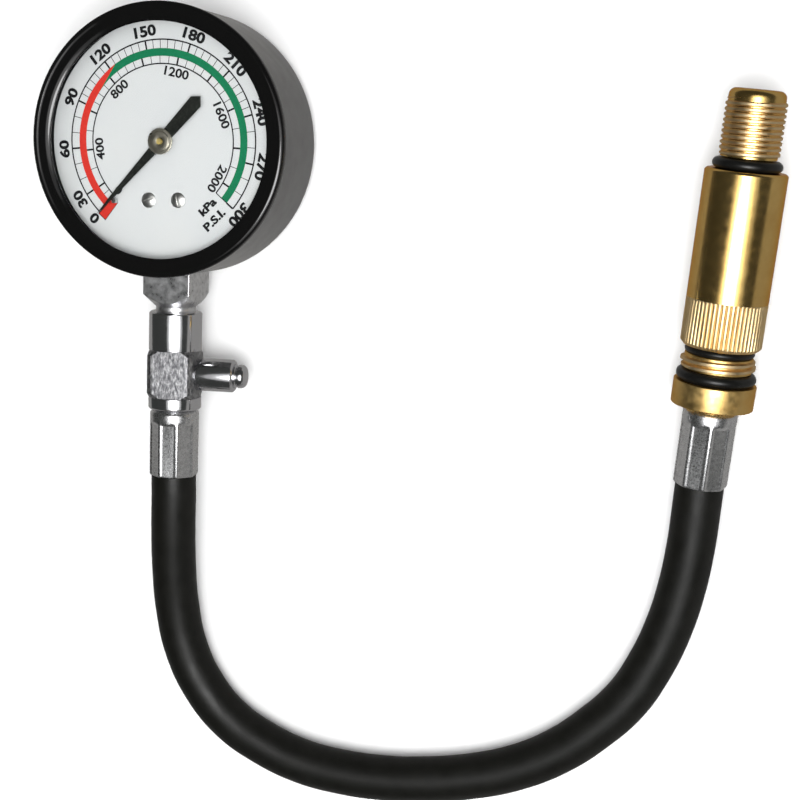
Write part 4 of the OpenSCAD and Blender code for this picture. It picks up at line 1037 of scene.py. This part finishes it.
def make_hub():
    foot = HUB_LOW - HUB_FOOT_H
    profile = [(SHAFT_HOLE_R, foot), (HUB_FOOT_R, foot), (HUB_FOOT_R, HUB_LOW), (HUB_R, HUB_LOW),
               (HUB_R, HUB_STEP), (HUB_TOP_R, HUB_STEP), (HUB_TOP_R, HUB_TOP - HUB_CROWN),
               (HUB_TOP_EDGE_R, HUB_TOP), (SHAFT_HOLE_R, HUB_TOP - HUB_DISH)]
    hub = turned("hub_cap", ease(profile, 0.12, closed=True), ROW, closed=True, segments=96)
    piece("hub_cap", hub, "pointer", HUB_NICKEL, ["pointer_hub"], sharp=50)


make_bezel()
make_scale_marks()
make_bands()
make_figures()
make_dial_screws()
make_needle()
make_hub()


# Relief valve

def make_block():
    """A round bar with four flats cut on it and both ends turned down."""
    flat_edge = math.acos(BAR_FLAT / BAR_R)
    angles = []
    for quarter in range(4):
        centre = quarter * math.pi / 2
        for first, last, count in ((-flat_edge, flat_edge, 30), (flat_edge, math.pi / 2 - flat_edge, 10)):
            angles += [centre + first + (last - first) * k / count for k in range(count)]
    end = [(0, 0)] + [(BAR_END_R - inset, s) for inset, s in BAR_END_EDGE]
    edge, steps = end[-1][1], 6
    for k in range(1, steps + 1):
        share = k / steps
        end.append((BAR_END_R + (BAR_R - BAR_END_R) * share, edge + (BAR_CHAMFER - edge) * share))
    rows = [(r, BLOCK_START + s) for r, s in end] + [(r, BLOCK_END - s) for r, s in reversed(end)]
    work = bmesh.new()
    rings = []
    for r, s in rows:
        reaches = [min(r, BAR_FLAT / max(abs(math.cos(a)), abs(math.sin(a)))) for a in angles]
        rings.append(ring_of(work, s, reaches, angles))
    bridge(work, rings)
    piece("valve_block", closed_mesh(work, "valve_block", VALVE), "tester", MILLED, sharp=28)


def make_tubes():
    upper_in, lower_in = BLOCK_START + TUBE_OVERLAP, BLOCK_END - TUBE_OVERLAP
    upper = [(0, VALVE_TOP), (TUBE_R - UPPER_CHAMFER, VALVE_TOP), (TUBE_R, VALVE_TOP + UPPER_CHAMFER),
             (TUBE_R, upper_in), (0, upper_in)]
    lower = [(0, lower_in), (TUBE_R, lower_in), (TUBE_R, VALVE_END - LOWER_CHAMFER),
             (TUBE_R - LOWER_CHAMFER, VALVE_END), (0, VALVE_END)]
    tubes = [turned("tube", ease(profile, 0.15), VALVE) for profile in (upper, lower)]
    piece("valve_tubes", joined("valve_tubes", tubes), "tester", CHROME, ["valve_body"])


def make_barrel():
    shank, bottom = BARREL_IN - BARREL_SHANK, BARREL_END - BUTTON_BORE_DEPTH
    profile = [(0, shank), (BARREL_SHANK_R, shank), (BARREL_SHANK_R, BARREL_IN), (BARREL_R, BARREL_IN),
               (BARREL_R, BARREL_END - BARREL_CHAMFER), (BARREL_R - BARREL_CHAMFER, BARREL_END),
               (BUTTON_BORE_R, BARREL_END), (BUTTON_BORE_R, bottom), (0, bottom)]
    mesh = turned("relief_barrel", ease(profile, 0.12), RELIEF, segments=96)
    piece("relief_sleeve", mesh, "tester", CHROME, ["relief_barrel"], sharp=50)


def make_button():
    profile = [(0, BUTTON_IN), (BUTTON_R, BUTTON_IN)] + [(r, BUTTON_END - s) for r, s in BUTTON_FRONT]
    mesh = turned("push_button", ease(profile, 0.1), RELIEF, segments=96)
    piece("push_button", mesh, "relief_button", CHROME, ["relief_button"], sharp=60)


make_block()
make_tubes()
make_barrel()
make_button()


# Ferrules

def make_ferrule(name, place, sizes, node):
    """A cup closed at 0 with a rounded shoulder, and crimped panels between raised ridges to its open end."""
    radius, length = sizes["radius"], sizes["length"]
    sector = math.radians(180 / PANELS)
    ridge = math.asin(CRIMP_RIDGE_HALF / radius)
    foot = sector - ridge
    flat_steps, ridge_steps, shoulder_steps = 8, 5, 6
    half = [foot * k / flat_steps for k in range(flat_steps + 1)]
    half += [foot + ridge * k / ridge_steps for k in range(1, ridge_steps)]
    offsets = [-a for a in reversed(half[1:])] + half + [sector]
    angles = [2 * sector * panel + a for panel in range(PANELS) for a in offsets]

    def sunk(a):
        """Depth at an angle from a panel's middle: flat across the panel, round over the ridge beside it."""
        away = abs(a)
        panel_r = (radius - CRIMP_DEPTH) / math.cos(min(away, foot))
        if away > foot:
            panel_r += (radius - panel_r) * math.sin(math.pi / 2 * (away - foot) / ridge)
        return radius - min(radius, panel_r)

    depths = [sunk(a) for a in offsets] * PANELS
    rows = [(0, 0, 0), (FERRULE_BORE_R - FERRULE_WALL, 0, 0)]
    for k in range(shoulder_steps + 1):
        a = math.pi / 2 * k / shoulder_steps
        rows.append((radius - FERRULE_SHOULDER * (1 - math.sin(a)), FERRULE_SHOULDER * (1 - math.cos(a)), 0))
    rows += [(radius, CRIMP_START - before, cut) for before, cut in CRIMP_RAMP]
    rows += [(radius - inset, length - back, cut) for inset, back, cut in FERRULE_LIP]
    rows += [(FERRULE_BORE_R, length, 0), (FERRULE_BORE_R, FERRULE_WALL, 0), (0, FERRULE_WALL, 0)]
    work = bmesh.new()
    bridge(work, [ring_of(work, s, [r - cut * depth for depth in depths], angles) for r, s, cut in rows])
    piece(name, closed_mesh(work, name, place), "tester", CRIMPED, [node], sharp=32)


FAR_END = ADAPTOR @ along(FAR_FERRULE["start"]) @ turn(180, "X") @ turn(FAR_FERRULE_TURN, "Z")
make_ferrule("gauge_end_ferrule", VALVE @ along(GAUGE_FERRULE["start"]), GAUGE_FERRULE, "gauge_ferrule")
make_ferrule("adaptor_end_ferrule", FAR_END, FAR_FERRULE, "far_ferrule")


# Adaptor

def root_r(sizes):
    return sizes["crest"] - sizes["depth"]


def thread(name, sizes):
    """A helical ridge over its core, along the adaptor."""
    turns = (sizes["high"] - sizes["low"]) / sizes["pitch"] - THREAD_TURNS_LESS
    ridge = SCREW_THREAD.bake(name, Root_Radius=root_r(sizes), Depth=sizes["depth"], Pitch=sizes["pitch"],
                              Turns=turns, Steps_Per_Turn=64, Material=THREAD_BRASS)
    ridge.transform(ADAPTOR @ along(sizes["low"] + THREAD_LEAD * sizes["pitch"]))
    return ridge


def make_fitting():
    big_r, stub_r = root_r(BIG_THREAD), root_r(STUB_THREAD)
    body = [(0, NECK_START), (NECK_R, NECK_START), (NECK_R, FLANGE_LOW), (FLANGE_R, FLANGE_LOW),
            (FLANGE_R, FLANGE_HIGH), (BIG_SEAL_SEAT_R, FLANGE_HIGH), (BIG_SEAL_SEAT_R, BIG_THREAD["low"]),
            (big_r, BIG_THREAD["low"]), (big_r, BIG_THREAD["high"]), (SPIGOT_ROOT_R, BIG_THREAD["high"]),
            (SPIGOT_ROOT_R, STUB_START), (stub_r, STUB_START), (stub_r, STUB_END - STUB_CHAMFER),
            (stub_r - STUB_CHAMFER, STUB_END), (STUB_BORE_R, STUB_END),
            (STUB_BORE_R, STUB_END - STUB_BORE_DEPTH), (0, STUB_END - STUB_BORE_DEPTH)]
    core = turned("fitting_core", ease(body, 0.25), ADAPTOR)
    piece("fitting_body", core, "tester", SATIN_BRASS, ["adaptor_fitting"], sharp=50)
    ridges = [thread("big_thread", BIG_THREAD), thread("stub_thread", STUB_THREAD)]
    piece("fitting_threads", joined("fitting_threads", ridges), "tester", THREAD_BRASS, sharp=30)


def knurl_strip():
    """One rib of the knurled band, round across, with half a groove on each side."""
    half = math.pi / KNURL_COUNT
    steps = 8
    across = [2 * k / steps - 1 for k in range(steps + 1)]
    work = bmesh.new()
    rings = []
    for inset, s, cut in (*KNURL_START, (0, KNURL_LEN - KNURL_FADE, 1), (0, KNURL_LEN, 0)):
        reaches = [SLEEVE_R - inset - KNURL_DEPTH * cut * abs(t) ** 3 for t in across]
        rings.append(ring_of(work, SLEEVE_START + s, reaches, [half * t for t in across]))
    bridge(work, rings, closed=False)
    return open_mesh(work, "knurl_strip")


def make_sleeve():
    band = REPEAT_AROUND.bake("knurl_band", knurl_strip(), Count=KNURL_COUNT,
                              Step_Angle=2 * math.pi / KNURL_COUNT, Material=KNURL_BRASS)
    tip_r, steps = root_r(TIP_THREAD), 5
    outside = [(SLEEVE_R, SLEEVE_START + KNURL_LEN), (SLEEVE_R, SLEEVE_END - SLEEVE_CHAMFER),
               (SLEEVE_R - SLEEVE_CHAMFER, SLEEVE_END), (TIP_ROOT_R, SLEEVE_END), (TIP_ROOT_R, TIP_ROOT_END),
               (tip_r, TIP_ROOT_END), (tip_r, TIP_END - TIP_CORNER_R)]
    for k in range(1, steps + 1):
        a = math.pi / 2 * k / steps
        outside.append((tip_r - TIP_CORNER_R * (1 - math.cos(a)), TIP_END - TIP_CORNER_R * (1 - math.sin(a))))
    inside = [(TIP_BORE_R, TIP_END), (TIP_BORE_R, TIP_BORE_START), (GAS_R, TIP_BORE_START),
              (GAS_R, SLEEVE_BORE_END), (SLEEVE_BORE_R, SLEEVE_BORE_END), (SLEEVE_BORE_R, SLEEVE_START),
              (SLEEVE_R - SLEEVE_MOUTH, SLEEVE_START)]
    sleeve = turned("plain_sleeve", ease(outside + inside, 0.2), ADAPTOR, segments=KNURL_COUNT * 4)
    piece("plain_sleeve", sleeve, "sleeve", BRASS, ["adaptor_sleeve"], sharp=30)
    band.transform(ADAPTOR)
    piece("knurled_band", band, "sleeve", KNURL_BRASS, sharp=30)
    piece("tip_thread", thread("tip_thread", TIP_THREAD), "sleeve", THREAD_BRASS, sharp=30)


def make_seal_rings():
    for name, at, outside, section, body in SEAL_RINGS:
        ring = SEAL_RING.bake(name, Ring_Radius=(outside - section) / 2, Section_Radius=section / 2,
                              Material=SEAL_RUBBER)
        ring.transform(ADAPTOR @ along(at))
        piece(name, ring, body, SEAL_RUBBER, [name + "_ring"], sharp=60)


make_fitting()
make_sleeve()
make_seal_rings()


# Floor

def add_floor():
    mesh = bpy.data.meshes.new("table_top")
    corners = [(x * TABLE_HALF, y * TABLE_HALF, 0) for x, y in ((-1, -1), (1, -1), (1, 1), (-1, 1))]
    mesh.from_pydata(corners, [], [(0, 1, 2, 3)])
    mesh.materials.append(Finish("table_white", (0.9, 0.9, 0.9), roughness=0.8).material)
    floor = add_object("table_top", mesh)
    floor.visible_glossy = False


add_floor()
